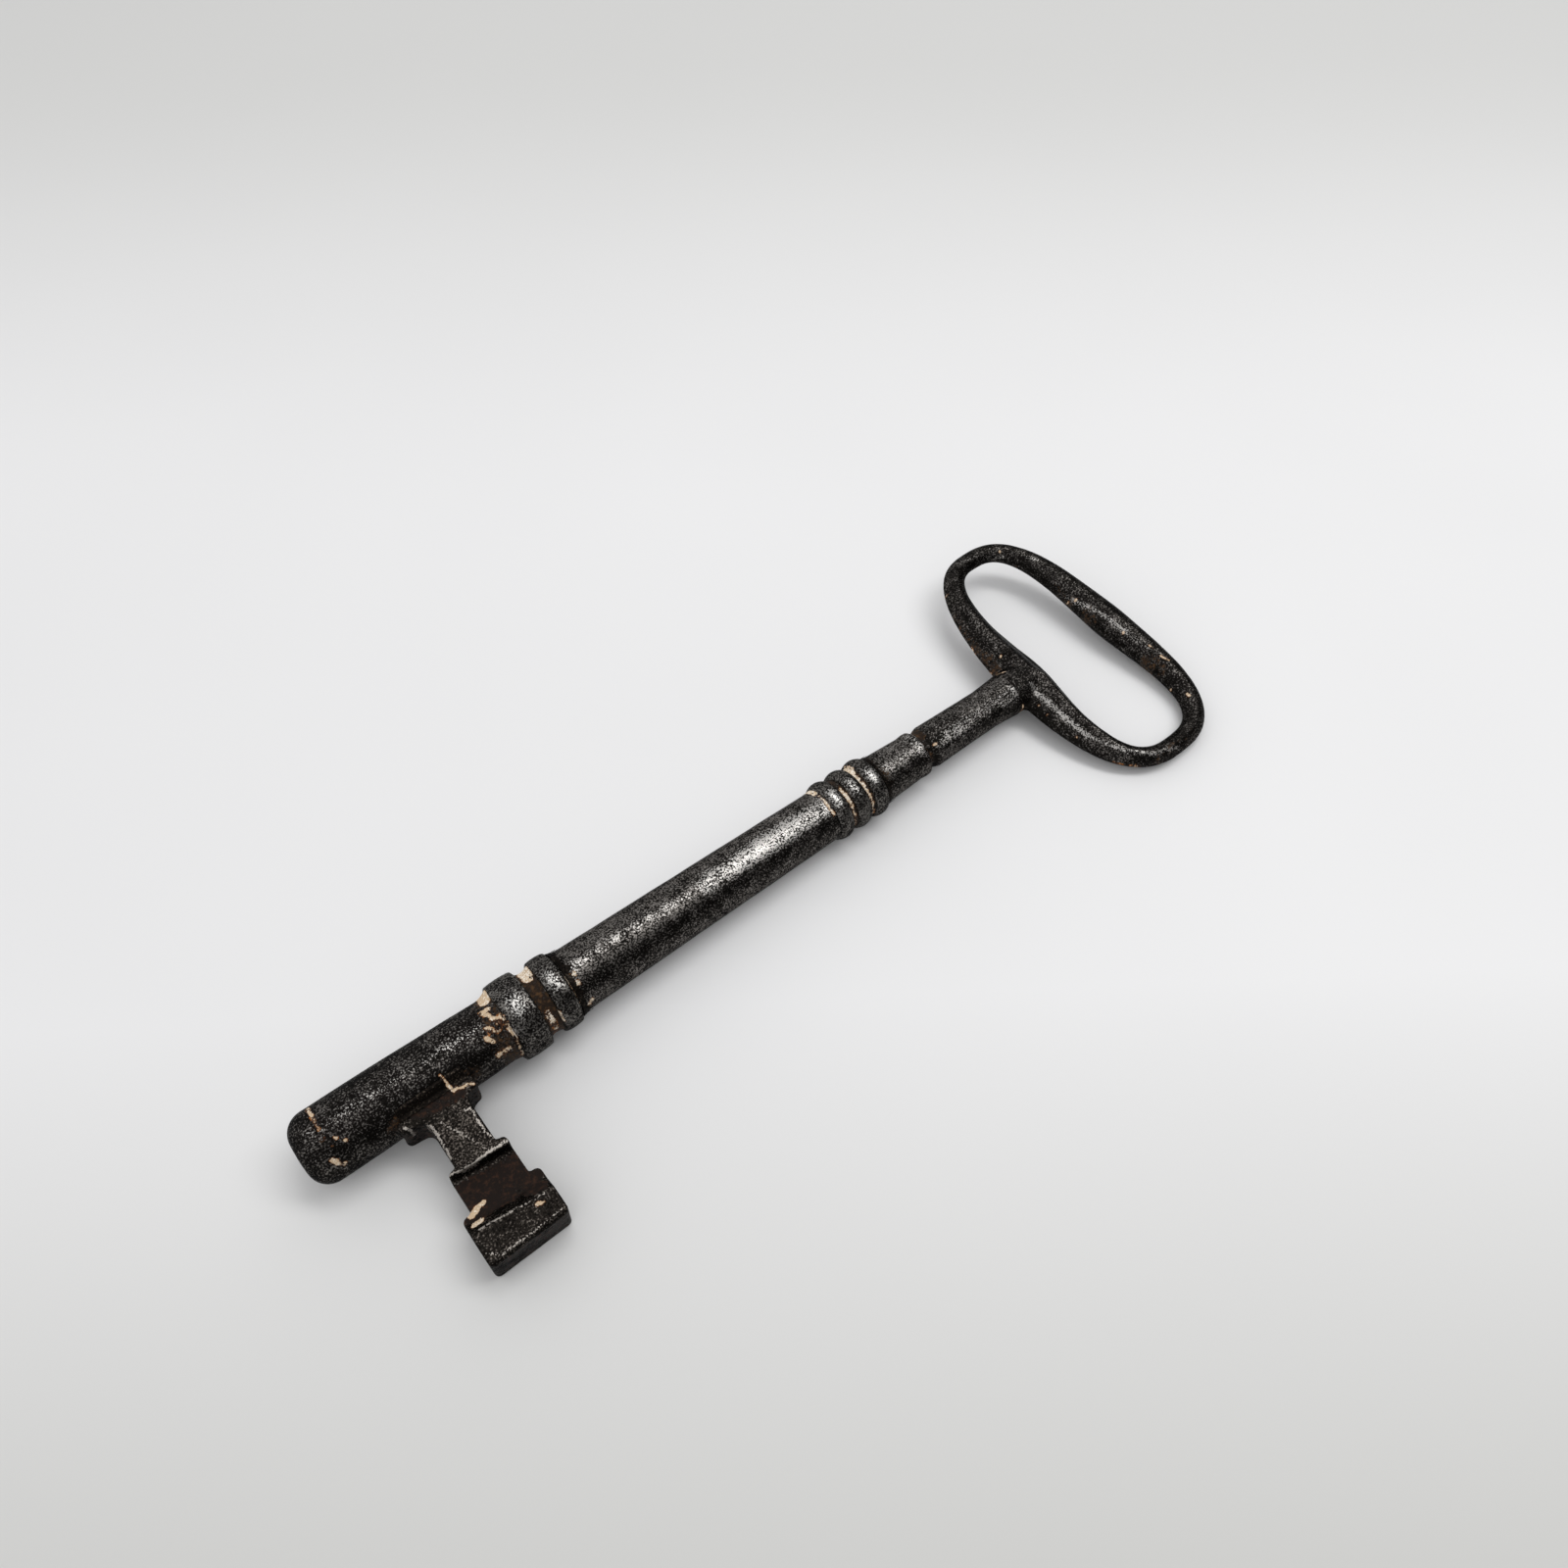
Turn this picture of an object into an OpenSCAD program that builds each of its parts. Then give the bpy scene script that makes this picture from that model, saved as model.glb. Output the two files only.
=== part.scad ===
// Old iron door key, built up from forged pieces that are brazed together.
// The stem lies along X, nose end towards -X, bow towards +X. The bit points to -Y and +Z is up.
// The origin is on the stem's axis, in the middle of the nose journal.
// Stretches of the stem are measured one after another from the nose end. All sizes are in mm.

/* [Shank] */
// Radius of the nose journal, the part that turns in the lock's pilot hole
nose_r = 5.85; // [5.6:0.05:6.2]
// Length of the nose journal
journal_len = 8; // [6:0.5:9]
// Edge radius of the nose end
nose_round = 3.4; // [2:0.1:4.5]
// Distance from the nose end to the stop shoulder, where the lock case stops the key
stop_from_nose = 33.4; // [30:0.2:45]
// Radius of the shank where the two lower bands sit
shank_r = 5.45; // [5.2:0.05:5.6]
// Length of the plain stem between the lower bands and the bead rings
stem_len = 52.9; // [30:0.5:90]
// Radius of the stem at its upper end, just below the bead rings
stem_top_r = 4.85; // [4.75:0.05:5.1]
// Length of the throat between the bead rings and the neck joint
throat_len = 11.2; // [11:0.2:20]
// Radius of the throat at the neck joint
throat_r = 4.3; // [4.1:0.05:4.55]

/* [Bands] */
// Width of the stop band
stop_band_w = 5; // [4:0.1:8]
// Radius of the stop band at its edges
stop_edge_r = 6.35; // [6.2:0.05:6.6]
// Height of the stop band's crown over its edges
stop_crown = 0.35; // [0.1:0.05:0.6]
// Width of the groove between the stop band and the ring band
band_groove_w = 2.2; // [1.5:0.1:4]
// Width of the ring band
ring_band_w = 3.5; // [3:0.1:6]
// Radius of the ring band at its edges
ring_edge_r = 6.05; // [5.9:0.05:6.3]
// Height of the ring band's crown over its edges
ring_crown = 0.32; // [0.1:0.02:0.5]

/* [Bead rings] */
// Radius of the seat that the bead rings are slid onto
bead_seat_r = 4.62; // [4.56:0.01:4.72]
// Width of each bead ring
bead_w = 3.1; // [2.6:0.1:4]
// Distance from one bead ring to the next
bead_pitch = 4; // [3.8:0.1:5]
// Radius of a bead ring at its edges
bead_edge_r = 5; // [4.95:0.05:5.2]
// Height of a bead's crown over its edges
bead_crown = 0.56; // [0.3:0.02:0.8]

/* [Neck] */
// Length of the neck, from the neck joint to the bow's seat
neck_len = 22.2; // [16:0.2:30]
// Radius of the neck at the neck joint
neck_low_r = 4.15; // [4.0:0.05:4.3]
// Radius of the neck at its waist
neck_waist_r = 3.9; // [3.6:0.05:4.0]
// Radius of the neck where it meets the bow
neck_top_r = 4.3; // [4.1:0.05:4.5]
// Radius of the tenons at both ends of the neck
tenon_r = 2.2; // [1.8:0.1:2.4]
// Length of the lower tenon, in the shank's socket
low_tenon_len = 9; // [6:0.5:10]
// Length of the upper tenon, in the bow's socket
top_tenon_len = 5.4; // [4:0.2:6]
// Depth of the V that is filed round each brazed butt joint
joint_v = 0.3; // [0.15:0.05:0.5]

/* [Bow] */
// Distance from the bow's seat to the centre line of its near bar
seat_to_bar = 5.1; // [4.8:0.1:6]
// Height of the bow's oval along the stem's axis, before the far bar's dip
bow_height = 26.5; // [22:0.5:32]
// Width of the bow across its centre line
bow_width = 55.2; // [46:0.2:66]
// Roundness of the oval: 2 is an ellipse, higher values are squarer
bow_power = 2.7; // [2.2:0.1:3.2]
// How far the bow's middle lies to one side of the stem's axis
bow_offset = 0.9; // [0:0.1:1.5]
// How much lower the oval is at its +Y end than in the middle, as a share of its height
bow_wedge = 0.09; // [0:0.01:0.12]
// How far the far bar dips towards the stem in its middle
far_dip = 1.7; // [0:0.1:2.5]
// Angle by which the bow leans out of square with the stem, in degrees
bow_lean = 0.6; // [0:0.1:2]
// Radius of the bar where the stem joins it
bar_root_r = 4.2; // [3.8:0.05:4.3]
// Radius of the bar at the middle of the far side
bar_far_r = 3.5; // [2.8:0.05:3.8]
// Radius of the bar at the two ends of the oval
bar_end_r = 2.05; // [1.8:0.05:2.6]
// How far the bar's flanks are hammered flat beside its ridges at the root, as a share of its radius
bar_ridge = 0.12; // [0:0.02:0.16]

/* [Bit] */
// Distance from the nose end to the middle of the bit
bit_from_nose = 19.9; // [19.5:0.1:22]
// Reach of the bit from the stem's axis
bit_reach = 29.9; // [28:0.1:34]
// Length of the bit's root from its middle towards the nose
root_nose_len = 7; // [6:0.1:7.4]
// Length of the bit's root from its middle towards the bow
root_bow_len = 5.6; // [5:0.1:7]
// Distance from the stem's axis to the end of the root
root_end = 7; // [6.8:0.1:8.5]
// Radius of the inner corners between the root and the web
web_fillet_r = 1.2; // [0.6:0.1:1.6]
// Width of the narrow neck of the bit between the two ward cuts
web_w = 6.6; // [5.5:0.1:8]
// Width of the bit's shelf, past its first step
shelf_w = 9.5; // [8.8:0.1:11]
// Distance from the stem's axis to the first step
shelf_start = 15.3; // [14:0.1:16]
// Width of the bit's toe, past its second step
toe_w = 12.7; // [11.6:0.1:14]
// Distance from the stem's axis to the second step
toe_start = 21.4; // [20.5:0.1:22.5]
// Thickness of the bit at the stem
root_t = 7; // [6:0.1:8]
// Thickness of the bit at its end
toe_t = 8.2; // [7.4:0.1:9]
// Corner radius of the steps and of the toe
bit_corner_r = 0.9; // [0.4:0.1:1.2]
// Distance from the stem's axis to the near wall of the ward groove in the bit's face
groove_start = 16.5; // [16:0.1:17.5]
// Width of the ward groove
groove_w = 8.4; // [7:0.1:9.5]
// Depth of the ward groove
groove_d = 2; // [1:0.1:2.6]
// Angle by which the ward groove is turned out of square with the bit, in degrees
groove_skew = 5.5; // [0:0.5:7]
// Height of the tenon that holds the bit in the shank
bit_tenon_h = 3.2; // [2:0.1:3.8]
// Length of the bit's tenon
bit_tenon_len = 8; // [6:0.2:9]
// Thickness of the bit's tenon
bit_tenon_t = 3; // [2:0.1:3.6]

/* [Brazing] */
// Clearance left for the brazing metal in every seat, socket and mortise
braze_gap = 0.05; // [0.02:0.01:0.1]
// Length along the stem of the brazing fillets above the ring band and the last bead
fillet_len = 2.1; // [1:0.1:3]
// Depth of the V filed round the stop band's bore, which brazing metal fills flush with the shoulder
shoulder_v = 0.4; // [0.2:0.05:0.4]
// Height of the brazing fillet above the ring band
band_fillet_h = 0.42; // [0.2:0.02:0.5]
// Height of the brazing fillet at the last bead
bead_fillet_h = 0.26; // [0.1:0.02:0.3]
// Leg of the brazing fillets along the bit's root
root_fillet_leg = 1.2; // [0.8:0.1:1.4]

/* [Hidden] */

// Stations along the axis
nose_x = -nose_round - journal_len / 2;
journal_end_x = nose_x + nose_round + journal_len;
stop_x = nose_x + stop_from_nose;
stop_end_x = stop_x + stop_band_w;
ring_x = stop_end_x + band_groove_w;
ring_end_x = ring_x + ring_band_w;
bead_x = ring_end_x + stem_len;
bead_count = 3;
bead_end_x = bead_x + (bead_count - 1) * bead_pitch + bead_w;
joint_x = bead_end_x + throat_len;
seat_x = joint_x + neck_len;
near_bar_x = seat_x + seat_to_bar;
bow_mid_x = near_bar_x + bow_height / 2;
bit_x = nose_x + bit_from_nose;

// Spare depth past a tenon's end, where the spelter gathers
socket_spare = 0.5;
// A cut runs this far past the face that it opens
cut = 1;
// Number of straight steps in an arc of a turned profile
arc_steps = 8;
// The bow's sweep: rings round the oval, and sides of the bar
bow_rings = 88;
bar_sides = 20;
// How softly the bar's swelling turns at the middle of each long side
swell_soft = 0.1;
$fn = 96;

// Points of a shallow arc from (x0, r) to (x1, r) that rises by crown in the middle, as [r, x]
function crown_arc(x0, x1, r, crown) =
    let (half = (x1 - x0) / 2)
    let (big = (half * half + crown * crown) / (2 * crown))
    let (span = asin(half / big))
    [for (i = [0:arc_steps])
        let (a = -span + 2 * span * i / arc_steps)
        [r + crown - big + big * cos(a), x0 + half + big * sin(a)]];

// Points of the rounded nose end, as [r, x]
function nose_arc() =
    [for (i = [0:arc_steps])
        let (a = 90 * i / arc_steps)
        [nose_r - nose_round + nose_round * sin(a), nose_x + nose_round * (1 - cos(a))]];

// Radius of the shank's taper between the journal and the stop band
function taper_r(x) =
    nose_r + (shank_r - nose_r) * (x - journal_end_x) / (stop_x - journal_end_x);

// Turns a profile of [r, x] points about the X axis
module turned(points) {
    rotate([0, 90, 0])
        rotate_extrude()
            polygon(points);
}

// A turned ring with a crowned rim
module crowned_ring(x0, x1, bore_r, edge_r, crown) {
    turned(concat([[bore_r, x0]], crown_arc(x0, x1, edge_r, crown), [[bore_r, x1]]));
}

// A ring of brazing metal in the corner between a ring's upper face at x and the bar, hollow outwards
module ring_fillet(x, bar_r, height) {
    corner = [bar_r + braze_gap, x];
    hollow = [for (i = [0:arc_steps])
        let (a = 90 * i / arc_steps)
        corner + [height * (1 - sin(a)), fillet_len * (1 - cos(a))]];
    turned(concat([corner], hollow));
}

// Space taken by the tapered shank where the bit sits on it
module shank_skin(gap) {
    start = journal_end_x - journal_len;
    turned([
        [0, start],
        [nose_r + gap, start],
        [nose_r + gap, journal_end_x],
        [shank_r + gap, stop_x],
        [0, stop_x]
    ]);
}

// The forged bar that everything else is brazed to
module shank() {
    color("#3a3633")
    difference() {
        turned(concat(
            [[0, nose_x]],
            nose_arc(),
            [
                [nose_r, journal_end_x],
                [shank_r, stop_x],
                [shank_r, ring_end_x],
                [stem_top_r, bead_x],
                [bead_seat_r, bead_x],
                [bead_seat_r, bead_end_x],
                [throat_r, joint_x - joint_v],
                [throat_r - joint_v, joint_x],
                [0, joint_x]
            ]
        ));
        bit_tenon(braze_gap);
        tenon(joint_x, -1, low_tenon_len + socket_spare, tenon_r + braze_gap);
    }
}

// A round tenon or its socket, from x in the direction of side
module tenon(x, side, length, r) {
    translate([x - side * cut, 0, 0])
        rotate([0, side * 90, 0])
            cylinder(r = r, h = length + cut);
}

// The tenon of the bit, or its mortise in the shank when gap is the brazing clearance
module bit_tenon(gap) {
    surface = taper_r(bit_x);
    translate([bit_x - bit_tenon_len / 2 - gap, -surface - cut, -bit_tenon_t / 2 - gap])
        cube([bit_tenon_len + 2 * gap, bit_tenon_h + gap + cut, bit_tenon_t + 2 * gap]);
}

// A flat rectangle with rounded corners, from y0 out to y1 below the stem's axis
module plate(x0, x1, y0, y1, r) {
    translate([x0, -y1 + r])
        square([x1 - x0, y1 - y0 - 2 * r]);
    translate([x0 + r, -y1])
        square([x1 - x0 - 2 * r, y1 - y0]);
    for (x = [x0 + r, x1 - r], y = [y0 + r, y1 - r])
        translate([x, -y])
            circle(r = r, $fn = 32);
}

// Material left in the inner corner of a ward cut, beside the web
module web_fillet(side) {
    r = web_fillet_r;
    translate([bit_x + side * (web_w / 2 + r / 2), -root_end - r / 2])
        difference() {
            square([r, r], center = true);
            translate([side * r / 2, -r / 2])
                circle(r = r, $fn = 32);
        }
}

// Outline of the bit, seen from above
module bit_outline() {
    r = bit_corner_r;
    plate(bit_x - root_nose_len, bit_x + root_bow_len, r, root_end, r);
    plate(bit_x - web_w / 2, bit_x + web_w / 2, r, bit_reach - 2 * r, r);
    plate(bit_x - shelf_w / 2, bit_x + shelf_w / 2, shelf_start, bit_reach - r, r);
    plate(bit_x - toe_w / 2, bit_x + toe_w / 2, toe_start, bit_reach, r);
    for (side = [-1, 1])
        web_fillet(side);
}

// Height of the bit's upper face at a distance from the stem's axis: the bit is a slow wedge
function bit_top(reach) = root_t / 2 + (toe_t - root_t) / 2 * reach / bit_reach;

// Side view of the bit as [y, z] points
module bit_side_view() {
    edge = bit_corner_r / 2;
    root = bit_top(0);
    toe = bit_top(bit_reach);
    polygon([
        [0, -root],
        [0, root],
        [-bit_reach + edge, toe],
        [-bit_reach, toe - edge],
        [-bit_reach, -toe + edge],
        [-bit_reach + edge, -toe]
    ]);
}

// Extrudes a [y, z] outline along X from x0 to x1
module along_x(x0, x1) {
    translate([x0, 0, 0])
        rotate([90, 0, 90])
            linear_extrude(height = x1 - x0)
                children();
}

// The ward groove: a steep wall towards the stem, a flat floor and a slope up to the toe
module ward_groove() {
    wall = 0.4;
    half = groove_w / 2;
    middle = groove_start + half;
    floor_z = bit_top(middle) - groove_d;
    translate([bit_x, -middle, 0])
        rotate([0, 0, -groove_skew])
            along_x(-toe_w, toe_w)
                polygon([
                    [half, bit_top(groove_start) + cut],
                    [half, bit_top(groove_start)],
                    [half - wall, floor_z],
                    [-half + groove_d, floor_z],
                    [-half, bit_top(groove_start + groove_w)],
                    [-half - cut, bit_top(groove_start + groove_w) + cut]
                ]);
}

// The bit: a stepped blade with two ward cuts, a ward groove, and a saddle on the shank
module bit() {
    color("#3b342e") {
        difference() {
            intersection() {
                translate([0, 0, -toe_t])
                    linear_extrude(height = 2 * toe_t)
                        bit_outline();
                along_x(bit_x - 2 * toe_w, bit_x + 2 * toe_w)
                    bit_side_view();
            }
            shank_skin(braze_gap);
            ward_groove();
        }
        intersection() {
            bit_tenon(0);
            shank_skin(2 * braze_gap);
        }
    }
}

// The stop band, whose flat face towards the nose stops the key at the lock case
module stop_band() {
    bore_r = shank_r + braze_gap;
    color("#55524e")
        difference() {
            crowned_ring(stop_x, stop_end_x, bore_r, stop_edge_r, stop_crown);
            turned([
                [bore_r - cut, stop_x - cut],
                [bore_r + shoulder_v + cut, stop_x - cut],
                [bore_r - cut, stop_x + shoulder_v + cut]
            ]);
        }
}

// The narrower band above it
module ring_band() {
    color("#55524e")
        crowned_ring(ring_x, ring_end_x, shank_r + braze_gap, ring_edge_r, ring_crown);
}

// One of the three bead rings, counted from the nose
module bead_ring(index) {
    x = bead_x + index * bead_pitch;
    color("#5c5955")
        crowned_ring(x, x + bead_w, bead_seat_r + braze_gap, bead_edge_r, bead_crown);
}

// The neck between shank and bow, with a tenon at each end
module neck() {
    waist_x = joint_x + 0.75 * neck_len;
    color("#4a4744") {
        turned([
            [0, joint_x],
            [neck_low_r - joint_v, joint_x],
            [neck_low_r, joint_x + joint_v],
            [neck_waist_r, waist_x],
            [neck_top_r, seat_x - joint_v],
            [neck_top_r - joint_v, seat_x],
            [0, seat_x]
        ]);
        tenon(joint_x, -1, low_tenon_len, tenon_r);
        tenon(seat_x, 1, top_tenon_len, tenon_r);
    }
}

// Distance from the oval's middle to its centre line at angle a, counted from the near bar
function bow_reach(a) =
    let (high = abs(cos(a)) / (bow_height / 2))
    let (wide = abs(sin(a)) / (bow_width / 2))
    pow(pow(high, bow_power) + pow(wide, bow_power), -1 / bow_power);

// Share of the half width that the centre line has reached at angle a, positive towards +Y
function bow_share(a) = bow_reach(a) * sin(a) / (bow_width / 2);

// Centre line of the bow at angle a: a squared oval, lower towards +Y and flattened on its far side
function bow_centre(a) =
    let (share = bow_share(a))
    let (dip = cos(a) < 0 ? far_dip * pow(1 - share * share, 2) : 0)
    let (along = -bow_reach(a) * cos(a) * (1 - bow_wedge * share) - dip)
    let (aside = share * bow_width / 2)
    [bow_mid_x + along * cos(bow_lean) - aside * sin(bow_lean),
     bow_offset + along * sin(bow_lean) + aside * cos(bow_lean), 0];

// Radius of the bar at angle a: thick at the root and the far side, thin at the two ends
function bar_r(a) =
    let (share = abs(bow_share(a)))
    let (soft = sqrt(share * share + swell_soft * swell_soft) - swell_soft)
    let (soft_end = sqrt(1 + swell_soft * swell_soft) - swell_soft)
    let (middle = cos(a) > 0 ? bar_root_r : bar_far_r)
    bar_end_r + (middle - bar_end_r) * (1 - soft / soft_end);

// Direction across the bar at angle a, in the bow's plane
function bow_across(a) =
    let (d = bow_centre(a + 0.5) - bow_centre(a - 0.5))
    [d[1], -d[0], 0] / norm(d);

// One ring of points round the bar, whose top and bottom ridges fade out towards the far side
function bar_ring(a) =
    let (centre = bow_centre(a))
    let (across = bow_across(a))
    let (flat = bar_ridge * (1 + cos(a)) / 2)
    [for (i = [0:bar_sides - 1])
        let (b = 360 * i / bar_sides)
        let (r = bar_r(a) * (1 - flat * pow(sin(2 * b), 2)))
        centre + r * cos(b) * across + [0, 0, r * sin(b)]];

// The closed, swelling bar of the bow
module bow_bar() {
    points = [for (i = [0:bow_rings - 1]) each bar_ring(360 * i / bow_rings)];
    faces = [for (i = [0:bow_rings - 1], j = [0:bar_sides - 1])
        let (next_i = (i + 1) % bow_rings)
        let (next_j = (j + 1) % bar_sides)
        each [
            [i * bar_sides + j, next_i * bar_sides + next_j, next_i * bar_sides + j],
            [i * bar_sides + j, i * bar_sides + next_j, next_i * bar_sides + next_j]
        ]];
    polyhedron(points = points, faces = faces);
}

// The bow, with the short boss and the socket that the neck is brazed into
module bow() {
    color("#332f2c")
    difference() {
        union() {
            bow_bar();
            turned([
                [0, seat_x],
                [neck_top_r - joint_v, seat_x],
                [neck_top_r, seat_x + joint_v],
                [bar_root_r, near_bar_x],
                [0, near_bar_x]
            ]);
        }
        tenon(seat_x, 1, top_tenon_len + socket_spare, tenon_r + braze_gap);
    }
}

// Brazing fillets along both faces of the bit's root
module bit_braze() {
    leg = root_fillet_leg;
    surface = taper_r(bit_x);
    half_t = bit_top(surface);
    crease = sqrt(surface * surface - half_t * half_t);
    color("#8a5a2c")
        for (side = [-1, 1])
            difference() {
                along_x(bit_x - root_nose_len + bit_corner_r, bit_x + root_bow_len - bit_corner_r)
                    polygon([
                        [-crease + 2 * leg, side * (half_t + braze_gap)],
                        [-crease - leg, side * (half_t + braze_gap)],
                        [-crease - leg / 4, side * (half_t + leg / 4)],
                        [-crease + leg / 2, side * (half_t + leg)],
                        [-crease + 2 * leg, side * (half_t + leg)]
                    ]);
                shank_skin(braze_gap);
            }
}

// Brazing metal flush in the V of the stop shoulder, and as a fillet above the ring band
module band_braze() {
    inner_r = shank_r + braze_gap;
    leg = shoulder_v - 1.5 * braze_gap;
    color("#8a5a2c") {
        turned([
            [inner_r, stop_x],
            [inner_r + leg, stop_x],
            [inner_r, stop_x + leg]
        ]);
        ring_fillet(ring_end_x + braze_gap, shank_r, band_fillet_h);
    }
}

// Brazing fillet at the upper face of the last bead ring
module bead_braze() {
    color("#8a5a2c")
        ring_fillet(bead_end_x + braze_gap, bead_seat_r, bead_fillet_h);
}

// Brazing metal in the V between neck and bow
module bow_braze() {
    fill = 0.8;
    color("#8a5a2c")
        turned([
            [neck_top_r - joint_v + braze_gap, seat_x],
            [neck_top_r - (1 - fill) * joint_v, seat_x - fill * joint_v],
            [neck_top_r - (1 - fill) * joint_v, seat_x + fill * joint_v]
        ]);
}

shank();
bit();
stop_band();
ring_band();
bead_ring(0);  // bead_ring_lower
bead_ring(1);  // bead_ring_middle
bead_ring(2);  // bead_ring_upper
neck();
bow();
bit_braze();
band_braze();
bead_braze();
bow_braze();
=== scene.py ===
# %% [markdown]
# # An old iron door key
# The key is a forged bar with rings slid over it, a stepped bit let into its side and an oval
# bow on a short neck, all brazed together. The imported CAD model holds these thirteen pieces
# at their true size. This lesson gives each one its hand-made surface: hammered dents, filed
# edges, pits, rust in the corners and crumbs of old paint.

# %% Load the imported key
import math

import bmesh
import bpy
import numpy as np
from mathutils import Matrix, Vector


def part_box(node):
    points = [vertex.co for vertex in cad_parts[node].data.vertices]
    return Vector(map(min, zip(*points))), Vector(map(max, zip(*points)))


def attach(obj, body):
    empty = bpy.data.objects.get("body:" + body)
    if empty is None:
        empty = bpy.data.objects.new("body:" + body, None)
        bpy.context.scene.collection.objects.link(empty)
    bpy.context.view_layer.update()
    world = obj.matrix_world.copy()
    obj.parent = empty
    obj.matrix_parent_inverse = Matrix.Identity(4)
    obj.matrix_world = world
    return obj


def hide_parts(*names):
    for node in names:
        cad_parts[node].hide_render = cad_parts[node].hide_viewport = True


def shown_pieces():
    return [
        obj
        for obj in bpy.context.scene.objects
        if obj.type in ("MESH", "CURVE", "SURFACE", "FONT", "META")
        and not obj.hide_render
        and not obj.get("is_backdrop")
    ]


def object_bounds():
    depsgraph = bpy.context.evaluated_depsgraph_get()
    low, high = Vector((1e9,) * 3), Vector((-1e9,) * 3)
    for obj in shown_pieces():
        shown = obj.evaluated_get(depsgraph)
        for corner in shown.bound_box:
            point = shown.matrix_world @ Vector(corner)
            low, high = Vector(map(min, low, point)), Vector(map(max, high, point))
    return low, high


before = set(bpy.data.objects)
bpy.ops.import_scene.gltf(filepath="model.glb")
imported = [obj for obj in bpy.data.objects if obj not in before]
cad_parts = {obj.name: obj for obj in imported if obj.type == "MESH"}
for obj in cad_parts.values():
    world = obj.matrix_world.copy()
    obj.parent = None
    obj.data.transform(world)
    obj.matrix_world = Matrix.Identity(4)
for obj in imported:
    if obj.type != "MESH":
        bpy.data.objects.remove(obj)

cad_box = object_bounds()
print("CAD nodes:", sorted(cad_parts))

# %% [markdown]
# The model is in metres, but a locksmith thinks in millimetres. One constant turns the one
# into the other. The stations along the stem are read from the CAD nodes' own boxes, so the
# dressed pieces always sit where the solids are.

# %% Stations along the stem, in millimetres
MM = 0.001


def span(node):
    """Start and end of a CAD node along the stem, in mm."""
    low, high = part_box(node)
    return low.x / MM, high.x / MM


NOSE_X = span("shank")[0]
JOINT_X = span("shank")[1]
STOP_X, STOP_END_X = span("stop_band")
RING_X, RING_END_X = span("ring_band")
BEADS = [span(f"bead_ring_{place}") for place in ("lower", "middle", "upper")]
BEAD_X, BEAD_END_X = BEADS[0][0], BEADS[2][1]
SEAT_X = span("bow")[0]
print("stop shoulder at", round(STOP_X, 2), "mm, beads at", [round(b[0], 2) for b in BEADS])

# %% [markdown]
# The camera comes first, because everything else is judged through it. Its place and turn were
# worked out from the photograph: the vanishing points of the bit, the ellipses of the rings and
# the outline of the bow fix them to about a pixel. It stands about 18 cm above the stem's axis.

# %% Camera
LENS, SENSOR = 27.3555, 36  # in mm
CAMERA_PLACE = (0.00723, -0.06890, 0.17652)  # in metres
CAMERA_RIGHT = (0.7788, -0.6219, 0.0823)
CAMERA_UP = (0.4942, 0.6890, 0.5301)
CAMERA_BACK = (-0.3864, -0.3721, 0.8439)
camera_data = bpy.data.cameras.new("camera")
camera_data.lens = LENS
camera_data.sensor_width = SENSOR
camera_data.clip_start = 0.01
camera = bpy.data.objects.new("camera", camera_data)
camera.matrix_world = Matrix.Translation(CAMERA_PLACE) @ Matrix(
    (CAMERA_RIGHT, CAMERA_UP, CAMERA_BACK)).transposed().to_4x4()
bpy.context.scene.collection.objects.link(camera)
bpy.context.scene.camera = camera
print("camera", [round(c / MM) for c in camera.location], "mm")

# %% [markdown]
# Two small helpers carry the whole lesson. `linear` turns an sRGB hex colour, as read off a
# paint chart, into the linear numbers that Blender mixes. `add_node` adds one node, sets its
# properties, fills or links its inputs and hands back its live output, so a tree reads from
# top to bottom like a recipe.

# %% Colour and node helpers
def linear(hex_colour):
    """The linear RGBA of an sRGB hex colour."""
    channels = [int(hex_colour[i:i + 2], 16) / 255 for i in (1, 3, 5)]
    return tuple(c / 12.92 if c <= 0.04045 else ((c + 0.055) / 1.055) ** 2.4
                 for c in channels) + (1.0,)


def add_node(tree, kind, inputs=None, **settings):
    """Adds a node. Inputs go by name or by number, and are a value or another node's output."""
    node = tree.nodes.new(kind)
    for name, value in settings.items():
        setattr(node, name, value)
    for key, value in (inputs or {}).items():
        if isinstance(key, str):
            socket = next(s for s in node.inputs if s.name == key and s.enabled)
        else:
            socket = node.inputs[key]
        if isinstance(value, bpy.types.NodeSocket):
            tree.links.new(value, socket)
        else:
            socket.default_value = value
    return next((s for s in node.outputs if s.enabled), None)


print("mid grey is", [round(c, 3) for c in linear("#808080")[:3]])

# %% [markdown]
# ## The finishes
# All the iron here shares one history. It was forged black, handled for a century until the
# scale turned into a dark, slightly glossy patina, and pitted finely wherever damp sat on it.
# Where it rubs in a pocket or a lock the bare metal comes through, where it doesn't it rusts, and
# at some time a painted door left cream crumbs in its corners. So one recipe makes every iron, and
# each finish only changes the amounts. Almost all that the eye gets from such iron is reflection,
# so the patina is a dark metal and not a dark paint: pits swallow the light, rubbed specks throw it
# back. Five attributes of the pieces steer the layers: `convex` tells edges from corners, and four
# are brushed on further down. Shine brightens rubbed metal, and is also a painted highlight where
# the lamp's streak falls. Grime dulls dirty iron, and is also painted shade on flanks that face
# away from the light. Rust and paint are what they say.

# %% The layered iron recipe
GRAIN, CRUMB, MOTTLE, PATCH = 0.27, 0.7, 2.4, 9  # widths of the four patterns, in mm
PIT_BLACK, STAIN, STAIN_LIGHT = "#0F0D0B", "#3A2110", "#A86A34"
CREAM_SHADE, CREAM = "#C6AE90", "#F0E7D8"


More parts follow.
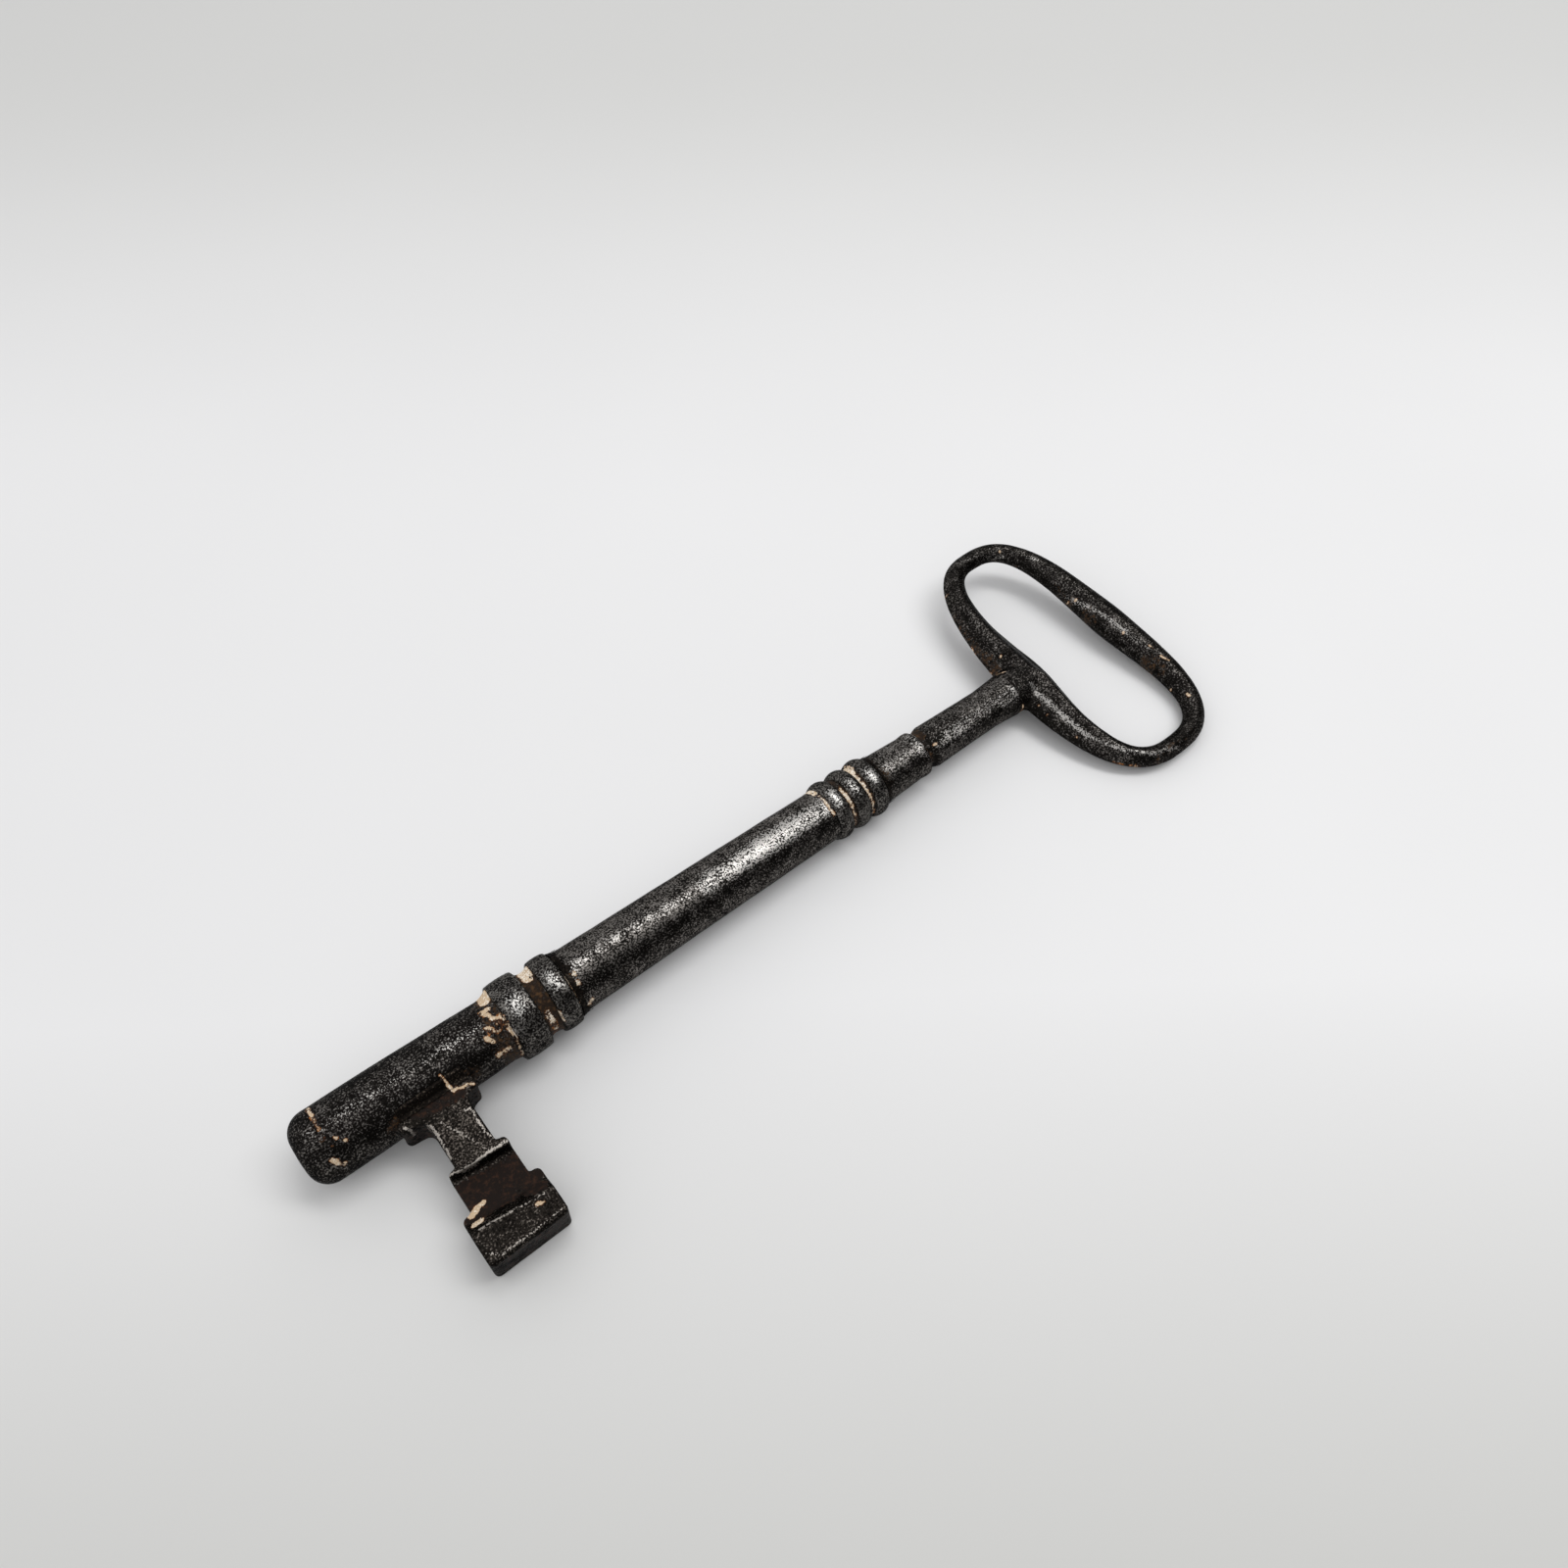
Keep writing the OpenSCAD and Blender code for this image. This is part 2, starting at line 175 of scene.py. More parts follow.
def iron(name, patina, patina_dark, bare, rust, rust_light, rubbed, edge_wear, gloss):
    """Old iron. Rubbed and edge wear go from 0 to 1, and the gloss is a roughness."""
    material = bpy.data.materials.new(name)
    material.use_nodes = True
    tree = material.node_tree
    tree.nodes.clear()
    place = next(s for s in tree.nodes.new("ShaderNodeTexCoord").outputs if s.name == "Object")

    # Grain: pits and specks. Real ones are 0.1 to 0.3 mm wide, and they are drawn a little
    # coarser, so that they still show in a picture of the whole key.
    grain = add_node(tree, "ShaderNodeTexNoise", {
        "Vector": place, "Scale": 1 / (GRAIN * MM), "Detail": 2.0, "Roughness": 0.6})
    # Mottling of 2 to 3 mm, wide handling patches of about 9 mm, crumbs of under a millimetre
    mottle = add_node(tree, "ShaderNodeTexNoise", {
        "Vector": place, "Scale": 1 / (MOTTLE * MM), "Detail": 4.0, "Roughness": 0.6})
    patch = add_node(tree, "ShaderNodeTexNoise", {
        "Vector": place, "Scale": 1 / (PATCH * MM), "Detail": 2.0, "Roughness": 0.5})
    crumb = add_node(tree, "ShaderNodeTexNoise", {
        "Vector": place, "Scale": 1 / (CRUMB * MM), "Detail": 3.0, "Roughness": 0.65})
    tone = add_node(tree, "ShaderNodeMath", {0: mottle, 1: 0.35, 2: grain},
                    operation="MULTIPLY_ADD")
    pit = add_node(tree, "ShaderNodeMapRange", {
        "Value": tone, "From Min": 0.64, "From Max": 0.55}, interpolation_type="SMOOTHSTEP")

    # How far each spot stands out as an edge or lies in a corner, in mm, and the brushed layers
    brushed = {}
    for label in ("convex", "burnish_and_highlight", "grime_and_shade", "rust", "paint"):
        attribute = tree.nodes.new("ShaderNodeAttribute")
        attribute.attribute_name = label
        brushed[label] = attribute.outputs["Fac"]
    # Grime, and the painted shade brushed with it, leaves fewer specks showing, but those as bright
    # as ever
    dusted_and_shaded = add_node(tree, "ShaderNodeMath", {0: brushed["grime_and_shade"], 1: -0.12, 2: tone},
                      operation="MULTIPLY_ADD")
    speck = add_node(tree, "ShaderNodeMapRange", {
        "Value": dusted_and_shaded, "From Min": 0.64, "From Max": 0.77})
    edge = add_node(tree, "ShaderNodeMapRange", {
        "Value": brushed["convex"], "From Min": 0.05, "From Max": 0.20})
    corner = add_node(tree, "ShaderNodeMapRange", {
        "Value": brushed["convex"], "From Min": -0.03, "From Max": -0.14, "To Max": 0.7})

    # Bare metal: specks that grow together where the iron is rubbed, and where shine paints a
    # highlight
    rub_and_highlight = add_node(tree, "ShaderNodeMath", {0: patch, 1: 0.25, 2: dusted_and_shaded},
                   operation="MULTIPLY_ADD")
    rub_and_highlight = add_node(tree, "ShaderNodeMath", {0: brushed["burnish_and_highlight"], 1: 0.26, 2: rub_and_highlight},
                   operation="MULTIPLY_ADD")
    rub_and_highlight = add_node(tree, "ShaderNodeMath", {0: edge, 1: 0.2 * edge_wear, 2: rub_and_highlight},
                   operation="MULTIPLY_ADD")
    bare_share = add_node(tree, "ShaderNodeMapRange", {
        "Value": rub_and_highlight, "From Min": 0.98 - 0.1 * rubbed, "From Max": 1.07 - 0.1 * rubbed})
    # Away from the rubbed places and painted highlights the specks are only half bare
    polish_and_highlight = add_node(tree, "ShaderNodeMapRange", {
        "Value": brushed["burnish_and_highlight"], "From Max": 0.6, "To Min": 0.35, "To Max": 1.0})
    bare_share = add_node(tree, "ShaderNodeMath", {0: bare_share, 1: polish_and_highlight},
                          operation="MULTIPLY")

    # Rust: brushed places and deep corners, with a ragged edge
    field = add_node(tree, "ShaderNodeMath", {0: brushed["rust"], 1: corner},
                     operation="MAXIMUM")
    ragged = add_node(tree, "ShaderNodeMath", {0: mottle, 1: crumb}, operation="ADD")
    ragged = add_node(tree, "ShaderNodeMath", {0: ragged, 1: field}, operation="ADD")
    rusty = add_node(tree, "ShaderNodeMapRange", {
        "Value": ragged, "From Min": 1.42, "From Max": 1.66})
    present = add_node(tree, "ShaderNodeMath", {0: field, 1: 5.0}, operation="MULTIPLY",
                       use_clamp=True)
    rusty = add_node(tree, "ShaderNodeMath", {0: rusty, 1: present}, operation="MULTIPLY")
    rust_fresh = add_node(tree, "ShaderNodeMapRange", {
        "Value": crumb, "From Min": 0.50, "From Max": 0.66})

    # Paint: crumbs of old cream paint, stained with rust along their broken rim
    broken = add_node(tree, "ShaderNodeMath", {0: mottle, 1: 1.2, 2: -1.2},
                      operation="MULTIPLY_ADD")
    broken = add_node(tree, "ShaderNodeMath", {0: crumb, 1: 3.2, 2: broken},
                      operation="MULTIPLY_ADD")
    painted = add_node(tree, "ShaderNodeMath", {0: broken, 1: brushed["paint"]},
                       operation="MULTIPLY")
    rim = add_node(tree, "ShaderNodeMapRange", {
        "Value": painted, "From Min": 0.38, "From Max": 0.52})
    paint = add_node(tree, "ShaderNodeMapRange", {
        "Value": painted, "From Min": 0.60, "From Max": 0.72})

    # Colour, from the ground up
    ground = add_node(tree, "ShaderNodeMix", {
        "Factor": speck, "A": linear(patina_dark), "B": linear(patina)},
        data_type="RGBA")
    metal = add_node(tree, "ShaderNodeMix", {
        "Factor": bare_share, "A": ground, "B": linear(bare)}, data_type="RGBA")
    pitted = add_node(tree, "ShaderNodeMix", {
        "Factor": pit, "A": metal, "B": linear(PIT_BLACK)}, data_type="RGBA")
    rust_tone = add_node(tree, "ShaderNodeMix", {
        "Factor": rust_fresh, "A": linear(rust), "B": linear(rust_light)}, data_type="RGBA")
    rusted = add_node(tree, "ShaderNodeMix", {
        "Factor": rusty, "A": pitted, "B": rust_tone}, data_type="RGBA")
    stain = add_node(tree, "ShaderNodeMix", {
        "Factor": rust_fresh, "A": linear(STAIN), "B": linear(STAIN_LIGHT)}, data_type="RGBA")
    rimmed = add_node(tree, "ShaderNodeMix", {
        "Factor": rim, "A": rusted, "B": stain}, data_type="RGBA")
    cream = add_node(tree, "ShaderNodeMix", {
        "Factor": speck, "A": linear(CREAM_SHADE), "B": linear(CREAM)},
        data_type="RGBA")
    colour = add_node(tree, "ShaderNodeMix", {
        "Factor": paint, "A": rimmed, "B": cream}, data_type="RGBA")

    # Gloss: patina and bare metal shine softly, pits, rust and paint don't
    roughness = add_node(tree, "ShaderNodeMath", {0: pit, 1: 0.3, 2: gloss},
                         operation="MULTIPLY_ADD")
    dull = add_node(tree, "ShaderNodeMath", {0: rusty, 1: rim}, operation="MAXIMUM")
    roughness = add_node(tree, "ShaderNodeMix", {"Factor": dull, "A": roughness, "B": 0.8})
    # A thin brown film of grease and dust stays dull on the patina: 85% metal
    metallic = add_node(tree, "ShaderNodeMapRange", {"Value": dull, "To Min": 0.85, "To Max": 0.0})

    # Relief: the pits sink in, paint and rust stand proud
    relief = add_node(tree, "ShaderNodeMath", {0: paint, 1: 2.0, 2: tone},
                      operation="MULTIPLY_ADD")
    bump = add_node(tree, "ShaderNodeBump", {
        "Height": relief, "Distance": 0.03 * MM, "Strength": 1.0})

    surface = add_node(tree, "ShaderNodeBsdfPrincipled", {
        "Base Color": colour, "Metallic": metallic, "Roughness": roughness, "Normal": bump,
        # Pits shade each other when seen along the surface, so the rims stay dark
        "Specular Tint": (0.3, 0.3, 0.3, 1.0)})
    add_node(tree, "ShaderNodeOutputMaterial", {"Surface": surface})
    print("finish", name, "with", len(tree.nodes), "nodes")
    return material


# %% [markdown]
# Four finishes come out of that recipe. The long forged pieces have the plain dark patina. The
# rings stand proud, so they are rubbed a little brighter. The bit is browner and rustier, since
# nobody polishes it. Spelter, the brazing metal, is a zinc-rich brass that has gone as dark as
# the iron round it and only glows a little warmer.

# %% The four finishes
forged_iron = iron("forged_iron", patina="#716D69", patina_dark="#161412", bare="#B4B1AD",
                   rust="#241A12", rust_light="#4E3823", rubbed=0.0, edge_wear=0.3, gloss=0.33)
worn_iron = iron("worn_iron", patina="#6D6A66", patina_dark="#181615", bare="#B8B6B2",
                 rust="#281B11", rust_light="#54391F", rubbed=0.2, edge_wear=0.3, gloss=0.30)
rusty_iron = iron("rusty_iron", patina="#5E5852", patina_dark="#1A1714", bare="#9C968F",
                  rust="#1A120E", rust_light="#332117", rubbed=0.0, edge_wear=0.45, gloss=0.38)
spelter = iron("spelter", patina="#4C453C", patina_dark="#171310", bare="#8D816B",
               rust="#1E150F", rust_light="#3A2819", rubbed=-0.3, edge_wear=0.0, gloss=0.42)

# %% [markdown]
# ## Turning and sweeping
# Most of the key is round: a profile spun about the stem's axis. Blender's screw tool could do
# that, but a Geometry Nodes tree shows the idea plainly and can be fed any profile. The
# profile is a line of edges whose x is the distance from a small guide circle and whose y runs
# along the stem, and Curve to Mesh carries it once round.

# %% Tree helpers
def new_tree(name, sockets):
    """A Geometry Nodes tree with named inputs. Hands back the tree and its input node."""
    tree = bpy.data.node_groups.new(name, "GeometryNodeTree")
    tree.interface.new_socket("Geometry", in_out="INPUT", socket_type="NodeSocketGeometry")
    for label, kind in sockets.items():
        tree.interface.new_socket(label, in_out="INPUT", socket_type="NodeSocket" + kind)
    tree.interface.new_socket("Geometry", in_out="OUTPUT", socket_type="NodeSocketGeometry")
    return tree, tree.nodes.new("NodeGroupInput")


def close_tree(tree, given, geometry):
    """Ends a tree in real geometry with a material on it."""
    real = add_node(tree, "GeometryNodeRealizeInstances", {"Geometry": geometry})
    done = add_node(tree, "GeometryNodeSetMaterial", {
        "Geometry": real, "Material": given.outputs["Material"]})
    add_node(tree, "NodeGroupOutput", {"Geometry": done})


def run_tree(piece, tree, **values):
    """Runs a tree on a piece and keeps the result as a plain mesh."""
    modifier = piece.modifiers.new(tree.name, "NODES")
    modifier.node_group = tree
    for item in tree.interface.items_tree:
        label = item.name.lower().replace(" ", "_")
        if item.in_out == "INPUT" and label in values:
            modifier[item.identifier] = values[label]
    keep_result(piece)


def keep_result(piece):
    """Turns what a piece's modifiers make into its own mesh, and removes them."""
    evaluated = piece.evaluated_get(bpy.context.evaluated_depsgraph_get())
    made = bpy.data.meshes.new_from_object(evaluated)
    piece.modifiers.clear()
    old, piece.data = piece.data, made
    made.name = piece.name
    bpy.data.meshes.remove(old)


def new_piece(name, vertices, edges=(), faces=()):
    """A new object from points in millimetres."""
    mesh = bpy.data.meshes.new(name)
    mesh.from_pydata([tuple(np.array(v) * MM) for v in vertices], list(edges), list(faces))
    piece = bpy.data.objects.new(name, mesh)
    bpy.context.scene.collection.objects.link(piece)
    return piece


# %% The turning tree
GUIDE_R = 1.0 * MM
turned_tree, given = new_tree("turned", {"Sides": "Int", "Material": "Material"})
profile = add_node(turned_tree, "GeometryNodeMeshToCurve", {"Mesh": given.outputs["Geometry"]})
guide = add_node(turned_tree, "GeometryNodeCurvePrimitiveCircle", {
    "Resolution": given.outputs["Sides"], "Radius": GUIDE_R})
spun = add_node(turned_tree, "GeometryNodeCurveToMesh", {
    "Curve": guide, "Profile Curve": profile})
# The guide circle lies flat, so its axis is turned from Z to the stem's X
laid = add_node(turned_tree, "GeometryNodeTransform", {
    "Geometry": spun, "Rotation": (0, math.pi / 2, 0)})
welded = add_node(turned_tree, "GeometryNodeMergeByDistance", {
    "Geometry": laid, "Distance": 0.0005 * MM})
close_tree(turned_tree, given, welded)
print("turning tree:", len(turned_tree.nodes), "nodes")


# %% Profiles
def finely(points, step=0.3, closed=False):
    """Points with more set between them, so that no gap is wider than step mm."""
    points = [np.array(p, float) for p in points]
    out = []
    pairs = zip(points, points[1:] + points[:1]) if closed else zip(points, points[1:])
    for a, b in pairs:
        count = max(1, math.ceil(np.linalg.norm(b - a) / step))
        out += [a + (b - a) * i / count for i in range(count)]
    return out if closed else out + [points[-1]]


def outward(piece):
    """Turns a closed mesh's faces outwards."""
    shape = bmesh.new()
    shape.from_mesh(piece.data)
    inside_out = shape.calc_volume(signed=True) < 0
    shape.free()
    if inside_out:
        piece.data.flip_normals()


def turn(name, points, finish, sides=120, step=0.3, closed=False):
    """Turns a profile of (x, radius) points about the stem's axis."""
    points = finely(points, step, closed)
    count = len(points)
    edges = [(i, (i + 1) % count) for i in range(count if closed else count - 1)]
    piece = new_piece(name, [(r - GUIDE_R / MM, -x, 0) for x, r in points], edges)
    run_tree(piece, turned_tree, sides=sides, material=finish)
    outward(piece)
    print(name, "turned:", len(piece.data.polygons), "faces")
    return piece


# %% [markdown]
# ## The hammered skin
# No surface on a forged key is true. The smith leaves shallow dents of some millimetres, the
# file leaves strokes along the bar, and every piece gets them, so they are a tree of their
# own. It only pushes points inwards, which keeps the piece inside its solid. The tree ends by
# measuring how far each point stands out of its blurred surroundings: that is the `convex`
# attribute, which tells the finish where an edge has been rubbed and where dirt collects.

# %% The skin tree
skin_tree, given = new_tree("hammered_skin", {
    "Dent Depth": "Float", "Stroke Depth": "Float", "Seed": "Float", "Blur Steps": "Int",
    "Material": "Material"})
DENT_SIZE, STROKE_WIDTH = 5.5, 1.3
where = add_node(skin_tree, "GeometryNodeInputPosition")
facing = add_node(skin_tree, "GeometryNodeInputNormal")
dents = add_node(skin_tree, "ShaderNodeTexNoise", {
    "Vector": where, "W": given.outputs["Seed"], "Scale": 1 / (DENT_SIZE * MM), "Detail": 1.5},
    noise_dimensions="4D")
stretched = add_node(skin_tree, "ShaderNodeVectorMath", {0: where, 1: (0.07, 1, 1)},
                     operation="MULTIPLY")
strokes = add_node(skin_tree, "ShaderNodeTexNoise", {
    "Vector": stretched, "W": given.outputs["Seed"], "Scale": 1 / (STROKE_WIDTH * MM),
    "Detail": 1.0}, noise_dimensions="4D")
sunk = add_node(skin_tree, "ShaderNodeMath", {
    0: dents, 1: given.outputs["Dent Depth"]}, operation="MULTIPLY")
sunk = add_node(skin_tree, "ShaderNodeMath", {
    0: strokes, 1: given.outputs["Stroke Depth"], 2: sunk}, operation="MULTIPLY_ADD")
sunk = add_node(skin_tree, "ShaderNodeMath", {0: sunk, 1: -MM}, operation="MULTIPLY")
inward = add_node(skin_tree, "ShaderNodeVectorMath", {"Vector": facing, "Scale": sunk},
                  operation="SCALE")
dented = add_node(skin_tree, "GeometryNodeSetPosition", {
    "Geometry": given.outputs["Geometry"], "Offset": inward})
blurred = add_node(skin_tree, "GeometryNodeBlurAttribute", {
    "Value": where, "Iterations": given.outputs["Blur Steps"]}, data_type="FLOAT_VECTOR")
proud = add_node(skin_tree, "ShaderNodeVectorMath", {0: where, 1: blurred},
                 operation="SUBTRACT")
proud = add_node(skin_tree, "ShaderNodeVectorMath", {0: proud, 1: facing},
                 operation="DOT_PRODUCT")
proud = add_node(skin_tree, "ShaderNodeMath", {0: proud, 1: 1 / MM}, operation="MULTIPLY")
measured = add_node(skin_tree, "GeometryNodeStoreNamedAttribute", {
    "Geometry": dented, "Name": "convex", "Value": proud}, domain="POINT")
close_tree(skin_tree, given, measured)
print("skin tree:", len(skin_tree.nodes), "nodes")


# %% Forging a piece
def forge(piece, finish, dent=0.14, stroke=0.05, seed=0.0, blur=10):
    """Gives a piece its hammered skin and smooth shading, and reports its edges."""
    run_tree(piece, skin_tree, dent_depth=dent, stroke_depth=stroke, seed=seed,
             blur_steps=blur, material=finish)
    piece.data.shade_smooth()
    convex = read_attribute(piece, "convex")
    print(piece.name, "skin:", len(piece.data.polygons), "faces, convex",
          np.round(np.percentile(convex, [1, 50, 99]), 3), "mm")


# %% Reading and writing a mesh
def read_points(piece):
    """A piece's vertices as an array in mm."""
    flat = np.empty(len(piece.data.vertices) * 3, np.float32)
    piece.data.vertices.foreach_get("co", flat)
    return flat.reshape(-1, 3).astype(float) / MM


def read_normals(piece):
    """A piece's vertex normals as an array."""
    flat = np.empty(len(piece.data.vertices) * 3, np.float32)
    piece.data.vertex_normals.foreach_get("vector", flat)
    return flat.reshape(-1, 3).astype(float)


def write_points(piece, points):
    """Moves a piece's vertices to an array in mm."""
    piece.data.vertices.foreach_set("co", (points * MM).astype(np.float32).ravel())
    piece.data.update()


def read_attribute(piece, name):
    """A float attribute on a piece's vertices, made of zeros if it is new."""
    attribute = piece.data.attributes.get(name)
    if attribute is None:
        attribute = piece.data.attributes.new(name, "FLOAT", "POINT")
    values = np.empty(len(piece.data.vertices), np.float32)
    attribute.data.foreach_get("value", values)
    return values


# %% [markdown]
# Paint, rust and shine aren't scattered at random: they sit where the photograph shows them.
# Each is brushed on in strokes. A stroke is a half width, a strength and a line of points,
# given on a round piece by station and angle (0 points to +Y, 90 up), and on a flat piece by
# x and y seen from above. The finish then breaks these soft strokes into ragged crumbs.

# %% Brushing paint, rust and shine
def soak(piece, name, fresh):
    """Raises an attribute on a piece's vertices to at least the fresh values."""
    values = np.maximum(read_attribute(piece, name), fresh)
    piece.data.attributes[name].data.foreach_set("value", values.astype(np.float32))


def line_distance(u, v, line):
    """How far each point (u, v) is from a line of points. The line's v may be arrays."""
    best = np.full(len(u), np.inf)
    for (u0, v0), (u1, v1) in zip(line, line[1:] or line):
        long = (u1 - u0) ** 2 + (v1 - v0) ** 2 + 1e-9
        share = np.clip(((u - u0) * (u1 - u0) + (v - v0) * (v1 - v0)) / long, 0, 1)
        best = np.minimum(best, np.hypot(u - u0 - share * (u1 - u0), v - v0 - share * (v1 - v0)))
    return best


def brush(piece, name, strokes, round_piece, soft=0.4, lift=0.0, z_above=-99.0):
    """Brushes strokes of (half width, strength, points) on a piece, and may lift them."""
    points = read_points(piece)
    fresh = np.zeros(len(points))
    angle = np.degrees(np.arctan2(points[:, 2], points[:, 1]))
    arc = np.radians(1) * np.hypot(points[:, 1], points[:, 2])
    for half, strength, line in strokes:
        if round_piece:
            middle = sum(a for _, a in line) / len(line)
            v = ((angle - middle + 180) % 360 - 180) * arc
            line = [(x, (a - middle) * arc) for x, a in line]
        else:
            v = points[:, 1]
        away = line_distance(points[:, 0], v, line) - half
        fresh = np.maximum(fresh, strength * np.clip(1 - away / soft, 0, 1))
    fresh *= points[:, 2] > z_above
    soak(piece, name, fresh)
    if lift:
        write_points(piece, points + read_normals(piece) * (fresh * lift)[:, None])


def brush_ring(piece, name, x0, x1, strength, soft=0.4):
    """Brushes a whole belt from x0 to x1 round a piece."""
    x = read_points(piece)[:, 0]
    away = np.maximum(np.maximum(x0 - x, x - x1), 0)
    soak(piece, name, strength * np.clip(1 - away / soft, 0, 1))


def deliver(piece, node):
    """Hands a finished piece over in the place of its CAD node."""
    piece.name = node + "_forged"
    piece.data.name = piece.name
    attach(piece, "root")
    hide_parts(node)


# %% [markdown]
# ## Shank
# The shank is one forged and turned bar. Its nose is rounded over by years of feeling for the
# keyhole, it tapers a little towards the bands, and its upper end is bored for the neck's
# tenon. Dirt and old paint have filled the corners beside the bands, so the turned bar is
# lifted there into small hollow fillets.

# %% Shank
NOSE_R, NOSE_ROUND = 5.85, 3.4
SHANK_R, STEM_TOP_R, SEAT_R, THROAT_R = 5.45, 4.85, 4.62, 4.3
JOURNAL_END_X = NOSE_X + NOSE_ROUND + 8
SOCKET_R, SOCKET_DEPTH = 2.25, 9.5
BAR_SEED = 1.0  # shared by all that was forged as one line, so that dents run on over joints
nose = [(NOSE_X + NOSE_ROUND * (1 - math.cos(a)), NOSE_R - NOSE_ROUND * (1 - math.sin(a)))
        for a in np.radians(np.arange(0, 91, 5))]
shank = turn("shank", [(NOSE_X + 0.03, 0), (NOSE_X + 0.02, 1.2), *nose,
                       (JOURNAL_END_X, NOSE_R), (STOP_X, SHANK_R), (RING_END_X, SHANK_R),
                       (BEAD_X, STEM_TOP_R), (BEAD_X, SEAT_R), (BEAD_END_X, SEAT_R),
                       (JOINT_X - 2.4, THROAT_R), (JOINT_X - 1.1, THROAT_R + 0.12),
                       (JOINT_X - 0.5, THROAT_R + 0.08), (JOINT_X - 0.1, THROAT_R - 0.30),
                       (JOINT_X, THROAT_R - 0.6), (JOINT_X, SOCKET_R),
                       (JOINT_X - SOCKET_DEPTH, SOCKET_R), (JOINT_X - SOCKET_DEPTH, 0)],
             forged_iron, sides=140, step=0.26)


def fill_corner(points, wall_x, side, height, length):
    """How much a dirt fillet lifts the bar beside a wall at wall_x, in mm."""
    away = (points[:, 0] - wall_x) * side
    return np.where(away >= -0.4, height * np.clip(1 - np.maximum(away, 0) / length, 0, 1) ** 2, 0)


points = read_points(shank)
radius = np.hypot(points[:, 1], points[:, 2])
angle = np.degrees(np.arctan2(points[:, 2], points[:, 1])) % 360
DIRT_ANGLE, DIRT_HALF = 43, 22  # the dirt lies thickest here, in degrees round the bar
on_top = np.clip(1 - np.abs(angle - DIRT_ANGLE) / DIRT_HALF, 0, 1)
lift = fill_corner(points, STOP_X, -1, 0.30 + 0.75 * on_top, 1.9)
lift += fill_corner(points, STOP_END_X, 1, 0.25 + 0.35 * on_top, 1.1)
lift += fill_corner(points, RING_X, -1, 0.25 + 0.45 * on_top, 1.1)
lift += fill_corner(points, BEAD_X, -1, 0.12, 0.6)
for (_, low_end), (high_start, _) in zip(BEADS, BEADS[1:]):
    lift += fill_corner(points, low_end, 1, 0.16, 0.5)
    lift += fill_corner(points, high_start, -1, 0.16, 0.5)
lift = np.where(radius > 4, lift, 0)
write_points(shank, points + read_normals(shank) * lift[:, None])

# %% Shine, rust and grime on the shank, with a painted highlight on top and painted shade below
brush_ring(shank, "burnish_and_highlight", RING_END_X + 1, JOINT_X - 1, 0.14, soft=2)
# The shine strokes sit where the lamp's streak and the throat rim's glint fall: burnished metal,
# made brighter as a painted highlight.
brush(shank, "burnish_and_highlight", [
    (0.2, 0.60, [(-4.5, 86), (4, 90), (14, 91), (22, 92)]),
    (0.3, 0.62, [(38, 92), (50, 93), (60, 97)]), (0.8, 0.42, [(101, 104), (112, 112)]),
    (0.3, 0.6, [(110.6, 60), (110.6, 130)])], True, soft=1.7)
brush(shank, "burnish_and_highlight", [(0.2, 0.5, [(52, 92), (60, 95)]), (1.1, 0.9, [(64, 98), (88, 101)])],
      True, soft=2.1)
brush(shank, "rust", [
    (0.3, 0.40, [(-3.0, 30), (-3.0, 100)]), (1.2, 0.55, [(24.4, 30), (24.6, 190)]),
    (0.6, 0.30, [(22.0, 110), (22.0, 150)]), (0.4, 0.45, [(5, 200), (20, 200)]),
    (1.0, 0.62, [(6, 150), (18, 150)]), (0.5, 0.45, [(101.3, 40), (101.3, 120)])],
    True, soft=1.6)
brush_ring(shank, "grime_and_shade", NOSE_X, STOP_X, 0.54)
# The grime belts at 130 to 146 degrees run along the lower flank: painted shade on the side turned
# away from the light.
brush(shank, "grime_and_shade", [
    (0.9, 0.9, [(5, 146), (19, 146)]), (0.8, 0.6, [(23.6, 30), (23.6, 190)]),
    (1.6, 0.75, [(-3.5, 130), (22, 132)]), (0.8, 0.55, [(37.5, 140), (112, 142)])], True, soft=1.4)
brush_ring(shank, "rust", STOP_END_X, RING_X, 0.75, soft=0.3)
brush_ring(shank, "rust", BEAD_X + 1, BEAD_END_X - 1, 0.7, soft=0.8)
brush_ring(shank, "rust", JOINT_X - 0.2, JOINT_X, 0.85, soft=0.2)

